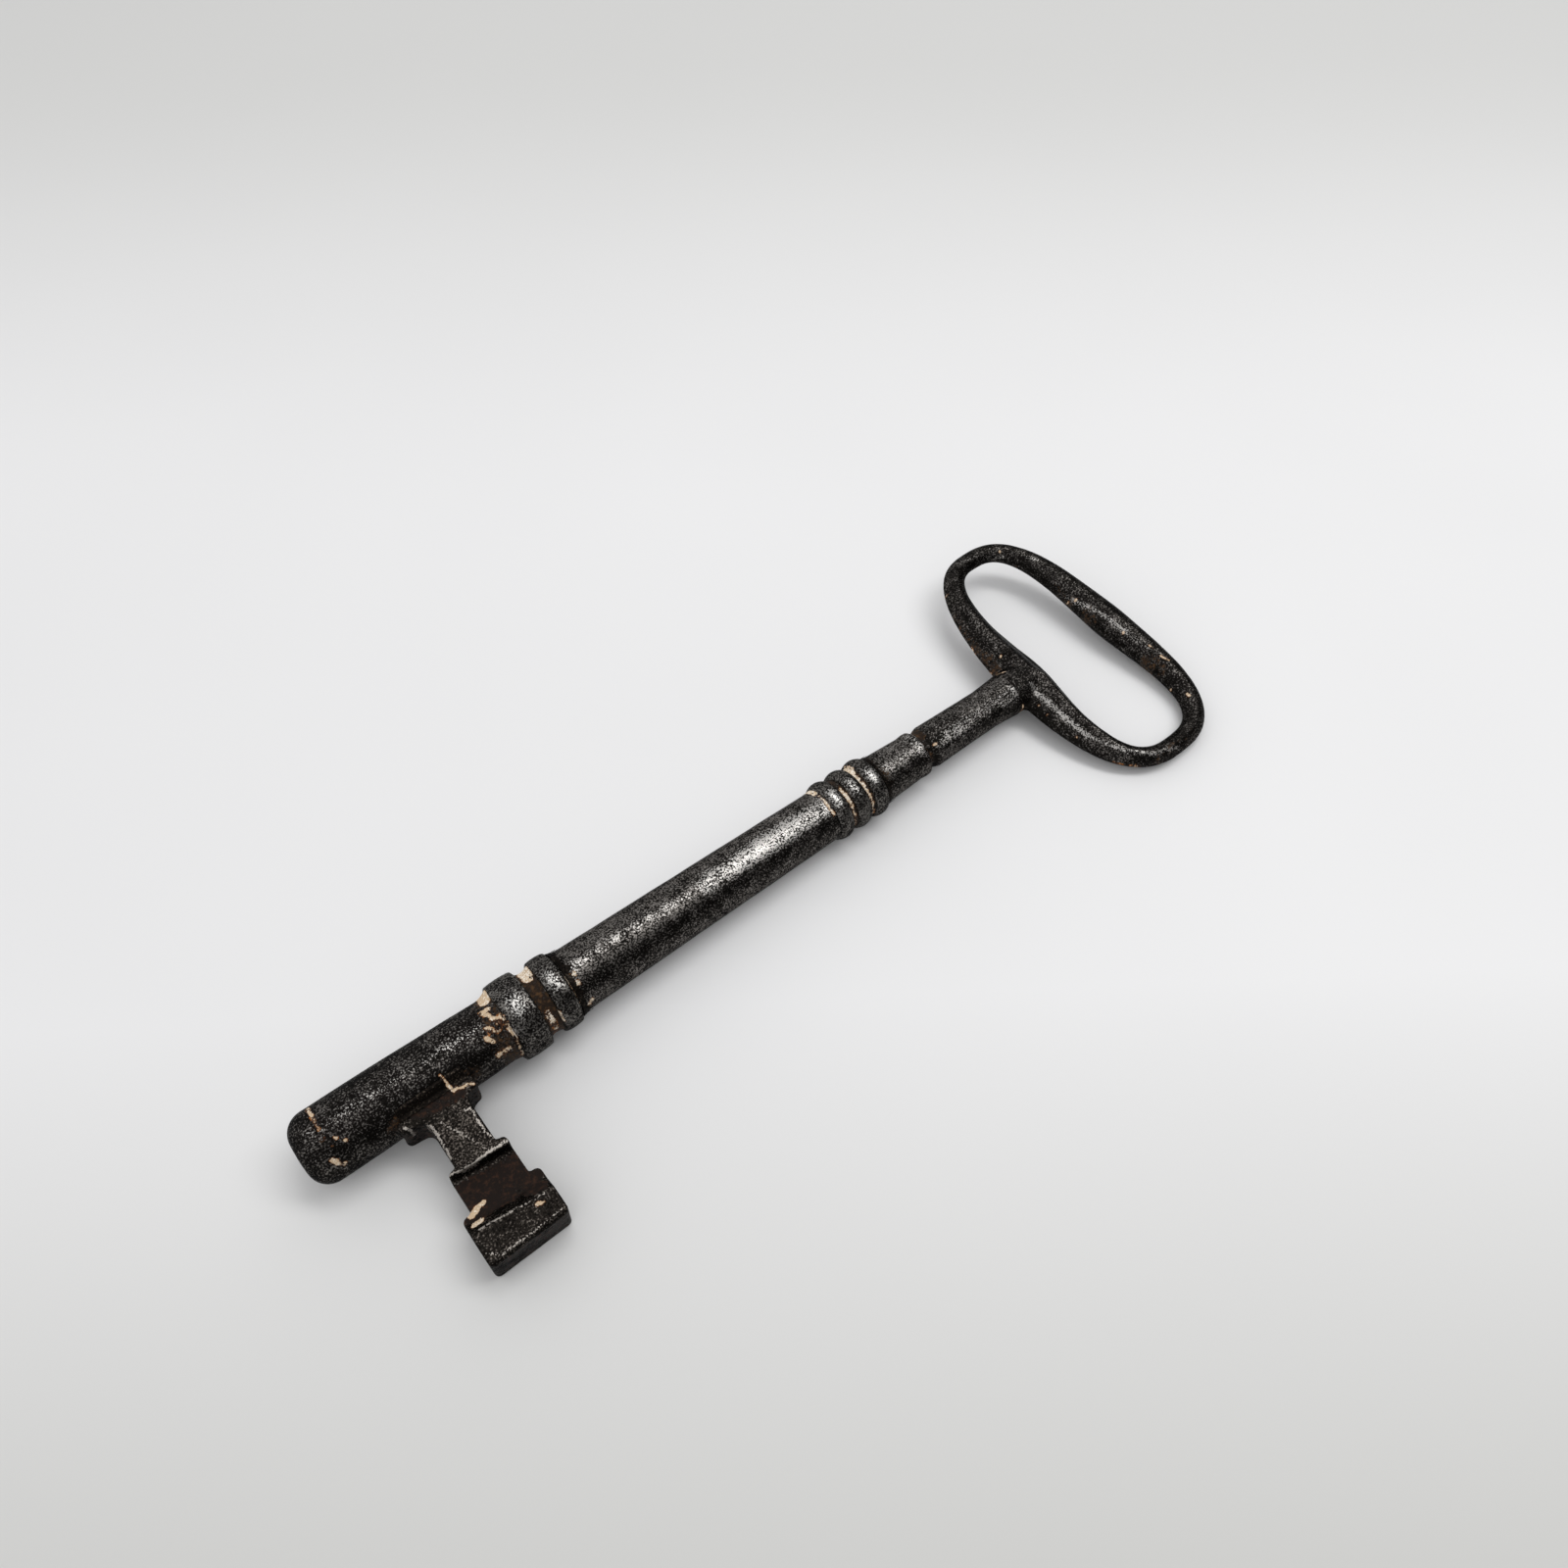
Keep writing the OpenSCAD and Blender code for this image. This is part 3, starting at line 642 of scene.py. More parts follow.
# %% Paint on the shank
# One thin run of paint crosses from the shank over the brazing to the bit, so they share it
V_MARK = [(0.05, 0.78, [(14.2, -2.9), (14.5, -4.3)]),
          (0.1, 1.0, [(14.4, -4.6), (14.7, -5.6), (15.3, -5.5)]),
          (0.06, 0.95, [(15.3, -5.5), (16.1, -6.0), (16.7, -5.9), (17.5, -6.4)])]
brush(shank, "paint", [
    (0.15, 0.85, [(-2.9, 40), (-2.8, 64)]), (0.2, 0.58, [(-2.8, 60), (-2.9, 90)]),
    (0.25, 0.85, [(-3.4, 137), (-3.1, 146)]), (0.2, 0.75, [(-3.1, 146), (-2.4, 155)]),
    (0.1, 0.85, [(-2.9, 106)]), (0.1, 0.85, [(-1.6, 113)]), (0.1, 0.85, [(-2.6, 122)]),
    (0.1, 0.85, [(-0.8, 124)]), (0.7, 1.4, [(25.4, 30), (25.2, 56)]),
    (0.25, 1.05, [(23.7, 74), (24.9, 74)]), (0.25, 0.95, [(24.0, 76), (24.7, 92)]),
    (0.35, 0.66, [(24.7, 92), (25.1, 104), (24.9, 110)]),
    (0.3, 0.62, [(25.1, 109), (24.3, 113), (23.4, 109), (23.3, 104)]),
    (0.22, 0.95, [(22.4, 114), (22.6, 118), (22.9, 123)]), (0.2, 0.8, [(23.2, 100), (23.6, 104)]),
    (0.12, 0.8, [(22.5, 147), (24.6, 147), (24.6, 151), (22.6, 151)]),
    (0.15, 0.80, [(25.8, 95), (25.9, 130)]), (0.15, 0.64, [(25.9, 130), (25.9, 183)]),
    (0.7, 1.4, [(32.3, 38), (32.3, 64)]),
    (0.4, 0.66, [(31.8, 134), (31.9, 160)]), (0.25, 0.66, [(32.0, 160), (32.0, 186)]),
    (0.4, 0.95, [(37.0, 104), (37.1, 110)]), (0.25, 0.95, [(38.2, 104)]),
    (0.3, 0.95, [(38.0, 121)]), (0.25, 0.95, [(37.1, 121)]),
    (0.3, 0.95, [(37.0, 133), (37.1, 138)]), (0.25, 0.95, [(37.2, 152)]),
    (0.25, 0.95, [(38.7, 163)]), (0.25, 0.95, [(38.1, 168)]),
    (0.35, 1.2, [(89.2, 26), (89.2, 58)]), (0.1, 0.85, [(89.3, 58), (89.3, 122)]),
    (0.15, 0.95, [(93.1, 84), (93.2, 130)]), (0.2, 0.68, [(93.1, 130), (93.1, 187)]),
    (0.5, 1.3, [(97.1, 30), (97.2, 64)]), (0.15, 0.9, [(97.0, 72), (97.1, 140)]),
    (0.15, 0.75, [(97.1, 140), (97.1, 190)])], True, soft=0.45, lift=0.06)
brush(shank, "paint", V_MARK, False, soft=0.3, z_above=2.0)
forge(shank, forged_iron, seed=BAR_SEED)
deliver(shank, "shank")

# %% [markdown]
# ## Five rings
# The stop band, the ring band and the three beads are one idea at five sizes: a ring with a
# crowned rim and filed corners, slid over the bar and brazed. One function draws the section
# from bore, edge and crown, and the turning tree spins it.

# %% Rings
def crowned_section(x0, x1, bore, edge, crown, corner):
    """The closed section of a ring as (x, radius) points: crowned rim, rounded corners."""
    half = (x1 - x0) / 2
    rim = []
    for share in np.linspace(-1, 1, 25):
        x = x0 + half + share * half
        r = edge + crown * (1 - share ** 2)
        inset = max(0.0, corner - (half - abs(x - x0 - half)))
        rim.append((x, r - corner + math.sqrt(max(0.0, corner ** 2 - inset ** 2))))
    return [(x0, bore), *rim, (x1, bore)]


FIT = 0.05  # room between bar and bore for the brazing metal, in mm
BEAD = (SEAT_R + FIT, 5.05, 0.51, 0.30, 0.08)
# Start, end, bore, edge, crown, corner and depth of dents of each ring, in mm
RINGS = {
    "stop_band": (STOP_X, STOP_END_X, SHANK_R + FIT, 6.50, 0.20, 0.45, 0.10),
    "ring_band": (RING_X, RING_END_X, SHANK_R + FIT, 6.15, 0.22, 0.40, 0.10),
    "bead_ring_lower": (*BEADS[0], *BEAD),
    "bead_ring_middle": (*BEADS[1], *BEAD),
    "bead_ring_upper": (*BEADS[2], *BEAD),
}
RING_PAINT = {
    "stop_band": [(0.06, 0.72, [(26.0, 100), (26.0, 140)])],
    "ring_band": [(0.15, 0.95, [(33.2, 140), (33.2, 158)])],
    "bead_ring_upper": [(0.15, 0.8, [(97.6, 30), (97.6, 60)])],
}
RING_BURNISH_AND_HIGHLIGHT = {"stop_band": (0.6, 0.68), "ring_band": (0.4, 0.80)}  # half width, strength
for number, (name, (x0, x1, bore, edge, crown, corner, dent)) in enumerate(RINGS.items()):
    ring = turn(name, crowned_section(x0, x1, bore, edge, crown, corner), worn_iron,
                sides=144, step=0.26, closed=True)
    middle = (x0 + x1) / 2
    half, strength = RING_BURNISH_AND_HIGHLIGHT.get(name, (0.5, 0.80))
    # The belt from 86 to 108 degrees round each ring is rubbed metal made brighter as a painted
    # highlight, where the lamp's reflection falls.
    brush(ring, "burnish_and_highlight", [(half, strength, [(middle, 86), (middle, 108)])], True, soft=1.2)
    brush(ring, "paint", RING_PAINT.get(name, []), True, soft=0.3, lift=0.04)
    forge(ring, worn_iron, dent=dent, stroke=0.03, seed=10.0 + number, blur=8)
    deliver(ring, name)

# %% [markdown]
# ## Neck
# The neck is a short waisted bar with a round tenon at each end. Only the part between the two
# brazed joints shows.

# %% Neck
NECK_LOW_R, NECK_WAIST_R, NECK_TOP_R, TENON_R = 4.15, 3.9, 4.3, 2.2
WAIST_X = JOINT_X + 0.75 * (SEAT_X - JOINT_X)
low_end, top_end = span("neck")
neck = turn("neck", [(low_end, 0), (low_end, TENON_R), (JOINT_X, TENON_R),
                     (JOINT_X, NECK_LOW_R - 0.7), (JOINT_X + 0.8, NECK_LOW_R - 0.65),
                     (JOINT_X + 1.5, NECK_LOW_R - 0.3), (JOINT_X + 2.3, NECK_LOW_R - 0.03),
                     (WAIST_X, NECK_WAIST_R),
                     (SEAT_X, NECK_TOP_R), (SEAT_X, TENON_R), (top_end, TENON_R),
                     (top_end, 0)], forged_iron, sides=120, step=0.26)
# The hammer left one long flat, which winds a little; angles in degrees round the neck
FLAT_START, FLAT_END, FLAT_HALF = 114, 116, 20
points = read_points(neck)
flat_middle = np.interp(points[:, 0], [JOINT_X, SEAT_X], [FLAT_START, FLAT_END])
off = (np.degrees(np.arctan2(points[:, 2], points[:, 1])) - flat_middle + 180) % 360 - 180
chord = np.where(np.abs(off) < FLAT_HALF,
                 math.cos(math.radians(FLAT_HALF)) / np.cos(np.radians(off)), 1.0)
fade = np.clip((points[:, 0] - JOINT_X - 1) / 2, 0, 1) * np.clip((SEAT_X - points[:, 0]) / 2, 0, 1)
points[:, 1:] *= (1 - fade * (1 - chord))[:, None]
write_points(neck, points)
# The shine along 117 to 121 degrees is a painted highlight on the hammered flat, over burnished
# metal; the grime belt along 148 degrees is painted shade on the lower flank.
brush(neck, "burnish_and_highlight", [(1.1, 0.60, [(115.4, 117), (124, 120)]),
                      (1.1, 0.62, [(124, 120), (133, 121)]),
                      (0.8, 0.30, [(115, 76), (130, 76)])], True, soft=1.6)
brush(neck, "grime_and_shade", [(0.7, 0.5, [(115, 148), (133, 148)]), (0.6, 1.0, [(114.3, 66), (114.7, 102)]),
                      (0.5, 0.5, [(116.5, 90), (121, 94)])], True, soft=1.2)
brush_ring(neck, "grime_and_shade", JOINT_X, JOINT_X + 1.5, 0.9, soft=0.7)
brush_ring(neck, "rust", JOINT_X, JOINT_X + 0.8, 0.45, soft=0.6)
brush(neck, "rust", [(0.5, 0.8, [(JOINT_X + 0.6, 15), (JOINT_X + 0.6, 75)])], True, soft=0.9)
brush(neck, "paint", [(0.12, 0.72, [(113.5, 118), (114.0, 118)])], True, soft=0.3)
forge(neck, forged_iron, seed=BAR_SEED)
deliver(neck, "neck")

# %% [markdown]
# ## Bow
# The bow is a closed bar bent to a squared oval: thick where the neck holds it, thin at the
# two ends, swelling again on the far side, where it dips towards the stem. It follows a rule,
# so the rule draws its centre line and Curve to Mesh sweeps a circle along it, scaled by the
# bar's radius. Near the root the flanks are hammered flat, which leaves a ridge on top.

# %% The sweeping tree
swept_tree, given = new_tree("swept_bar", {"Sides": "Int", "Material": "Material"})
line = add_node(swept_tree, "GeometryNodeMeshToCurve", {"Mesh": given.outputs["Geometry"]})
section = add_node(swept_tree, "GeometryNodeCurvePrimitiveCircle", {
    "Resolution": given.outputs["Sides"], "Radius": 1.0})
around = add_node(swept_tree, "GeometryNodeSplineParameter")
section = add_node(swept_tree, "GeometryNodeStoreNamedAttribute", {
    "Geometry": section, "Name": "around", "Value": around}, domain="POINT")
thickness = add_node(swept_tree, "GeometryNodeInputNamedAttribute", {"Name": "bar_radius"})
bar = add_node(swept_tree, "GeometryNodeCurveToMesh", {
    "Curve": line, "Profile Curve": section, "Scale": thickness})
# Flattening: a point at angle b moves in by flat * |sin(2b)| of its radius
turn_share = add_node(swept_tree, "GeometryNodeInputNamedAttribute", {"Name": "around"})
wave = add_node(swept_tree, "ShaderNodeMath", {0: turn_share, 1: 4 * math.pi},
                operation="MULTIPLY")
wave = add_node(swept_tree, "ShaderNodeMath", {0: wave}, operation="SINE")
wave = add_node(swept_tree, "ShaderNodeMath", {0: wave}, operation="ABSOLUTE")
flatness = add_node(swept_tree, "GeometryNodeInputNamedAttribute", {"Name": "bar_flat"})
depth = add_node(swept_tree, "ShaderNodeMath", {0: wave, 1: flatness}, operation="MULTIPLY")
depth = add_node(swept_tree, "ShaderNodeMath", {0: depth, 1: thickness}, operation="MULTIPLY")
depth = add_node(swept_tree, "ShaderNodeMath", {0: depth, 1: -1.0}, operation="MULTIPLY")
facing = add_node(swept_tree, "GeometryNodeInputNormal")
push = add_node(swept_tree, "ShaderNodeVectorMath", {"Vector": facing, "Scale": depth},
                operation="SCALE")
bar = add_node(swept_tree, "GeometryNodeSetPosition", {"Geometry": bar, "Offset": push})
close_tree(swept_tree, given, bar)
print("sweeping tree:", len(swept_tree.nodes), "nodes")

# %% The bow's centre line
BOW_H, BOW_W, BOW_POWER, BOW_OFFSET, BOW_WEDGE, FAR_DIP = 26.5, 55.2, 2.7, 0.9, 0.09, 1.7
BOW_LEAN = math.radians(0.6)
ROOT_R, FAR_R, END_R, RIDGE, SOFT = 4.2, 3.5, 2.05, 0.28, 0.1
RIDGE_FAR = 0.25  # share of the ridge that is left away from the root
NEAR_BAR_X = SEAT_X + 5.1
BOW_MID_X = NEAR_BAR_X + BOW_H / 2


def bow_point(a):
    """Centre, bar radius and flattening of the bow at angle a from the near bar."""
    reach = ((abs(math.cos(a)) / (BOW_H / 2)) ** BOW_POWER
             + (abs(math.sin(a)) / (BOW_W / 2)) ** BOW_POWER) ** (-1 / BOW_POWER)
    share = reach * math.sin(a) / (BOW_W / 2)
    dip = FAR_DIP * (1 - share ** 2) ** 2 if math.cos(a) < 0 else 0
    along = -reach * math.cos(a) * (1 - BOW_WEDGE * share) - dip
    aside = share * BOW_W / 2
    centre = (BOW_MID_X + along * math.cos(BOW_LEAN) - aside * math.sin(BOW_LEAN),
              BOW_OFFSET + along * math.sin(BOW_LEAN) + aside * math.cos(BOW_LEAN), 0)
    soft = math.sqrt(share ** 2 + SOFT ** 2) - SOFT
    middle = ROOT_R if math.cos(a) > 0 else FAR_R
    bar_r = END_R + (middle - END_R) * (1 - soft / (math.sqrt(1 + SOFT ** 2) - SOFT))
    return centre, bar_r, RIDGE * (RIDGE_FAR + (1 - RIDGE_FAR) * ((1 + math.cos(a)) / 2) ** 4)


STATIONS = 420
rule = [bow_point(2 * math.pi * i / STATIONS) for i in range(STATIONS)]
bow = new_piece("bow", [c for c, _, _ in rule], [(i, (i + 1) % STATIONS) for i in range(STATIONS)])
for label, values in (("bar_radius", [r * MM for _, r, _ in rule]),
                      ("bar_flat", [f for _, _, f in rule])):
    bow.data.attributes.new(label, "FLOAT", "POINT").data.foreach_set("value", values)
run_tree(bow, swept_tree, sides=72, material=forged_iron)
outward(bow)
print("bow bar swept:", len(bow.data.polygons), "faces")

# %% [markdown]
# The bow's boss is a short turned stub. Bar and boss are one forging, so they are melted into
# one skin with a voxel remesh. Two pushes then draw the near bar out towards the hole. The
# remesh leaves a sharp inner corner, where the real one has a fillet from the hammer. With its
# wear switched off, `settle` only moves points outwards, towards the average of their
# neighbours, so hollows fill up and edges stay.

# %% Melting and filling
def melt(piece, voxel=0.22):
    """Joins all that a piece is made of into one closed skin of even faces."""
    remesh = piece.modifiers.new("melt", "REMESH")
    remesh.mode = "VOXEL"
    remesh.voxel_size = voxel * MM
    keep_result(piece)


def neighbours(piece):
    """The piece's edges as an array, and how many each vertex has."""
    flat = np.empty(len(piece.data.edges) * 2, np.int32)
    piece.data.edges.foreach_get("vertices", flat)
    edges = flat.reshape(-1, 2)
    return edges, np.bincount(edges.ravel(), minlength=len(piece.data.vertices))


def settle(piece, weight, rounds, fill=True, wear=True):
    """Moves points towards their neighbours' average: outwards to fill, inwards to wear."""
    edges, count = neighbours(piece)
    moving = np.flatnonzero(weight > 0)
    edges = edges[(weight[edges] > 0).any(axis=1)]
    points = read_points(piece)
    for _ in range(rounds):
        total = np.stack([np.bincount(edges[:, 0], points[edges[:, 1], axis], len(points))
                          + np.bincount(edges[:, 1], points[edges[:, 0], axis], len(points))
                          for axis in range(3)], 1)[moving]
        step = total / count[moving, None] - points[moving]
        out = np.einsum("ij,ij->i", step, read_normals(piece)[moving])
        keep = np.where(out > 0, float(fill), float(wear)) * weight[moving]
        points[moving] += step * (0.5 * keep)[:, None]
        write_points(piece, points)


# %% Bar and boss in one skin
boss = turn("boss", [(SEAT_X, 0), (SEAT_X, NECK_TOP_R), (NEAR_BAR_X, ROOT_R),
                     (NEAR_BAR_X, 0)], forged_iron, sides=96)
with bpy.context.temp_override(active_object=bow, selected_editable_objects=[bow, boss]):
    bpy.ops.object.join()
melt(bow)
print("bow melted:", len(bow.data.polygons), "faces")

# %% The near bar, drawn out by the hammer
DRAWN, DRAWN_HALF = 1.35, 11  # how far towards the hole, and over what half length, in mm
RIDGE_LEAN = 1.4  # how far the lower near arm's ridge was hammered over that way, in mm
CORNER_X, CORNER_Y = NEAR_BAR_X - 2, 4.6  # where the boss meets the near arms
LOWER_FILLET, UPPER_FILLET = 4.5, 2.5  # how far the hammer's fillets reach along them
points = read_points(bow)
drawn = np.exp(-((points[:, 1] + 1) / DRAWN_HALF) ** 2) * (points[:, 0] < BOW_MID_X)
points[:, 0] += DRAWN * drawn * np.clip((points[:, 0] - NEAR_BAR_X + 3) / 6, 0, 1)
leaning = np.clip((1 - points[:, 1]) / 3, 0, 1) * np.clip((points[:, 1] + 23) / 5, 0, 1)
leaning *= np.clip((points[:, 0] - SEAT_X - 1) / 2, 0, 1) * (points[:, 0] < BOW_MID_X)
points[:, 0] += RIDGE_LEAN * leaning * np.clip(points[:, 2] / ROOT_R, 0, 1) ** 2
write_points(bow, points)
root = np.clip(1 - np.abs(points[:, 0] - CORNER_X) / 4, 0, 1)
lower_side = np.clip(1 - np.abs(points[:, 1] + CORNER_Y) / LOWER_FILLET, 0, 1)
upper_side = np.clip(1 - np.abs(points[:, 1] - CORNER_Y) / UPPER_FILLET, 0, 1)
below_top = np.clip((3.2 - points[:, 2]) / 1.2, 0, 1)
settle(bow, root * lower_side * below_top, 60, wear=False)
settle(bow, root * upper_side, 12, wear=False)
settle(bow, np.ones(len(points)), 2)
print("near bar drawn out by up to", round(float(drawn.max()) * DRAWN, 2), "mm")

# %% Shine, grime and rust on the bow: painted highlights on its ridges and painted shade on its flanks
# The shine lines run along the ridges where the lamp's highlight falls: burnished metal made
# brighter as a painted highlight.
brush(bow, "burnish_and_highlight", [
    (0.15, 1.0, [(137.7, -2.3), (138.1, -6.3), (138.2, -10.1), (138.5, -13.3), (139.0, -16.4)]),
    (0.1, 0.7, [(139.0, -16.4), (140.5, -19.8), (142.3, -22.8), (146.3, -26.3), (151.9, -28.1)]),
    (0.15, 0.45, [(146.5, 28.6), (153.1, 27.8), (157.6, 25.0)]),
    (0.08, 0.7, [(160.4, 21.9), (161.8, 19.8)]), (0.1, 0.3, [(160.4, 19.0), (160.3, 11.2)]),
    (0.12, 0.75, [(160.6, 10.0), (161.4, 5.8), (162.1, 1.7), (162.7, -4.1)]),
    (0.1, 0.5, [(162.7, -4.1), (163.2, -9.0)]),
    (0.1, 0.4, [(138.5, 8.0), (141.0, 20.0), (146.0, 27.0)])], False, soft=0.7, z_above=0.5)
# The bow is dulled with grime all over, less along its shine lines: partly dirt, partly painted
# shade beside the lit ridges
soak(bow, "grime_and_shade", 0.7 - 1.0 * read_attribute(bow, "burnish_and_highlight"))
# These grime strokes darken flanks that face away from the light, and one beside the near ridge
# dulls a reflection: painted shade.
brush(bow, "grime_and_shade", [
    (1.6, 1.0, [(158.6, 22.0), (159.4, 13.0)]), (0.8, 1.0, [(159.4, 13.0), (160.0, 2.0)]),
    (0.8, 0.9, [(160.6, -4.0), (161.6, -16.0)]),
    (0.35, 0.9, [(136.4, -4.5), (136.5, -10.0), (137.0, -16.0)]),
    (1.1, 1.0, [(135.2, -5.0), (135.6, -12.0), (136.6, -18.0), (139.0, -24.0)])],
    False, soft=0.8)
brush(bow, "rust", [
    (0.5, 0.45, [(160.2, 12.5), (160.4, 9.0)]), (0.6, 0.5, [(160.8, 4.5), (159.4, -1.0)]),
    (0.5, 0.5, [(162.4, -10.5), (162.8, -14.0)]), (0.6, 0.55, [(136.0, 5.0), (136.4, 7.5)]),
    (0.4, 0.5, [(136.2, 5.0), (136.8, 12.0), (138.4, 19.0)]),
    (0.5, 0.35, [(146.0, -27.5), (156.0, -27.0)])], False, soft=1.5)

# %% Paint on the bow
brush(bow, "paint", [
    (0.08, 1.0, [(141.2, 24.2)]), (0.08, 1.0, [(157.6, 26.0)]), (0.12, 0.75, [(158.8, 22.0)]),
    (0.05, 0.95, [(159.8, 13.0)]), (0.05, 1.0, [(160.4, 9.1)]), (0.05, 1.0, [(159.4, 7.3)]),
    (0.05, 0.95, [(161.2, 8.0)]), (0.05, 0.95, [(159.8, 3.8)]), (0.08, 1.0, [(162.3, -3.5)]),
    (0.05, 0.9, [(163.9, -8.8), (164.0, -9.6)]), (0.05, 0.9, [(163.9, -11.9), (164.4, -13.6)]),
    (0.05, 1.0, [(161.5, -17.7)]), (0.1, 1.0, [(162.0, -20.7), (161.9, -21.3)]),
    (0.12, 1.0, [(138.0, 6.1)]), (0.05, 0.9, [(135.3, 7.4)]), (0.05, 1.0, [(135.3, 5.3)]),
    (0.05, 0.8, [(136.6, 12.6), (135.8, 9.4)]), (0.05, 0.95, [(134.6, -4.2)]),
    (0.05, 1.0, [(136.6, -8.4)]), (0.05, 0.9, [(136.7, -6.0)]), (0.05, 1.0, [(137.6, -15.0)]),
    (0.08, 1.0, [(137.3, -18.4)]), (0.05, 0.66, [(139.6, -22.4), (141.2, -24.6), (143.4, -26.4)])],
    False, soft=0.35)
brush(bow, "paint", [(0.08, 0.85, [(134.4, 34), (135.9, 50)])], True, soft=0.3)
forge(bow, forged_iron, dent=0.16, seed=BAR_SEED)
deliver(bow, "bow")

# %% [markdown]
# ## Bit
# The bit's outline of steps and cuts is already in the CAD mesh, and filing it again in code
# would only repeat that. So the bit starts as a welded copy of its solid, melted to even
# faces, and then the edges are worn round as a century in a lock has done.

# %% A copy of a solid
def copy_of(node):
    """A welded copy of a CAD node's mesh, for a piece that replaces it."""
    piece = bpy.data.objects.new(node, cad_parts[node].data.copy())
    bpy.context.scene.collection.objects.link(piece)
    shape = bmesh.new()
    shape.from_mesh(piece.data)
    bmesh.ops.remove_doubles(shape, verts=shape.verts, dist=0.001 * MM)
    bmesh.ops.recalc_face_normals(shape, faces=shape.faces)
    shape.to_mesh(piece.data)
    shape.free()
    piece.data.materials.clear()
    return piece


# %% Bit
bit = copy_of("bit")
melt(bit, voxel=0.18)
settle(bit, np.ones(len(bit.data.vertices)), 6)
points = read_points(bit)
# The saddle's ears lie outside the web, and are worn the most
WEB_MIDDLE_X, WEB_HALF, EARS_END_Y = 11.8, 4, -9
ears = np.clip((points[:, 1] - EARS_END_Y) / 1.5, 0, 1)
ears *= np.clip(np.abs(points[:, 0] - WEB_MIDDLE_X) - WEB_HALF, 0, 1)
settle(bit, ears, 24, fill=False)
print("bit worn:", len(bit.data.polygons), "faces")

# %% Shine, rust, grime and paint on the bit, with painted shade on its sides and end
# Shine brightens the worn edges, and also paints them as thin highlight lines.
brush(bit, "burnish_and_highlight", [
    (0.03, 1.2, [(14.5, -9.0), (15.3, -9.3), (15.2, -11.3), (15.2, -13.5), (15.8, -14.9)]),
    (0.08, 1.4, [(6.5, -6.2), (7.2, -7.2), (9.0, -7.8), (9.6, -8.4), (9.6, -9.8), (9.4, -13.8)]),
    (0.10, 1.3, [(8.2, -15.7), (9.6, -16.2), (11.7, -16.4), (14.0, -16.2), (17.3, -16.4)]),
    (0.04, 1.2, [(7.6, -24.4), (11.0, -24.8), (14.9, -25.5), (17.4, -25.8)]),
    (0.05, 1.1, [(6.8, -27.8), (8.4, -29.1), (12.7, -29.2), (17.9, -29.0)]),
    (0.1, 0.5, [(10.8, -8.5), (12.6, -12.0), (14.2, -15.9)])], False, soft=0.3, z_above=0.5)
brush(bit, "rust", [
    (2.7, 0.8, [(8.5, -20.0), (16.5, -20.8)]), (0.8, 0.7, [(8.9, -5.3), (10.7, -6.0), (15, -6.2)]),
    (0.4, 0.85, [(15.6, -24.0), (17.6, -24.4)])], False, soft=1.0, z_above=0.3)
brush(bit, "grime_and_shade", [(2.7, 0.75, [(8.5, -20.0), (16.5, -20.8)]),
                     (1.2, 0.8, [(8.8, -5.2), (17.0, -5.6)]),
                     (1.6, 1.0, [(8.0, -26.9), (17.0, -27.4)])], False, soft=1.0)
# The sides and the end are painted darker by how far each face turns from straight up: painted
# shade, laid on as grime and as dark rust
facing_up = read_normals(bit)[:, 2]
facing_shade = np.interp(facing_up, [0.3, 0.8], [1.0, 0.55])
soak(bit, "grime_and_shade", facing_shade - 0.5 * read_attribute(bit, "burnish_and_highlight"))
soak(bit, "rust", np.interp(facing_up, [0.1, 0.5], [0.45, 0.0]))
brush(bit, "paint", [
    (0.3, 1.1, [(7.6, -21.7), (8.6, -21.6)]), (0.2, 1.0, [(8.6, -21.4), (10.0, -21.2)]),
    (0.3, 1.1, [(7.4, -23.2), (8.4, -23.2)]), (0.15, 0.9, [(15.6, -26.4), (16.4, -26.7)]),
    *V_MARK], False, soft=0.35, z_above=1.0)
forge(bit, rusty_iron, dent=0.12, stroke=0.03, seed=7.0, blur=12)
deliver(bit, "bit")

# %% [markdown]
# ## Brazing
# The brazing metal shows as small hollow fillets: along the bit's root, beside the two bands,
# above the last bead and in the joint below the bow. They start as copies of their solids too.

# %% Brazing fillets
for number, node in enumerate(("bit_braze", "band_braze", "bead_braze", "bow_braze")):
    fillet = copy_of(node)
    melt(fillet, voxel=0.11)
    settle(fillet, np.ones(len(fillet.data.vertices)), 3)
    soak(fillet, "grime_and_shade", np.full(len(fillet.data.vertices), 0.9))
    brush(fillet, "paint", V_MARK, False, soft=0.3, z_above=2.0)
    forge(fillet, spelter, dent=0.04, stroke=0.0, seed=20.0 + number, blur=8)
    deliver(fillet, node)

# %% [markdown]
# ## How the key lies
# A key doesn't lie level on a table: it rolls until three points touch. Those points are
# corners of the convex hull of the whole key, so the floor is the hull's face whose triangle
# lies under the centre of mass.

# %% Resting plane
def support_points(pieces, count=3000):
    """The points of the pieces that stand out furthest in many directions, in metres."""
    cloud = np.vstack([read_points(p) for p in pieces]) * MM
    ring = np.arange(count) * math.pi * (3 - math.sqrt(5))
    height = -1 + np.arange(count) * 0.25 / count
    flat = np.sqrt(1 - height ** 2)
    directions = np.stack([flat * np.cos(ring), flat * np.sin(ring), height], 1)
    return cloud[np.unique(np.argmax(cloud @ directions.T, axis=0))]


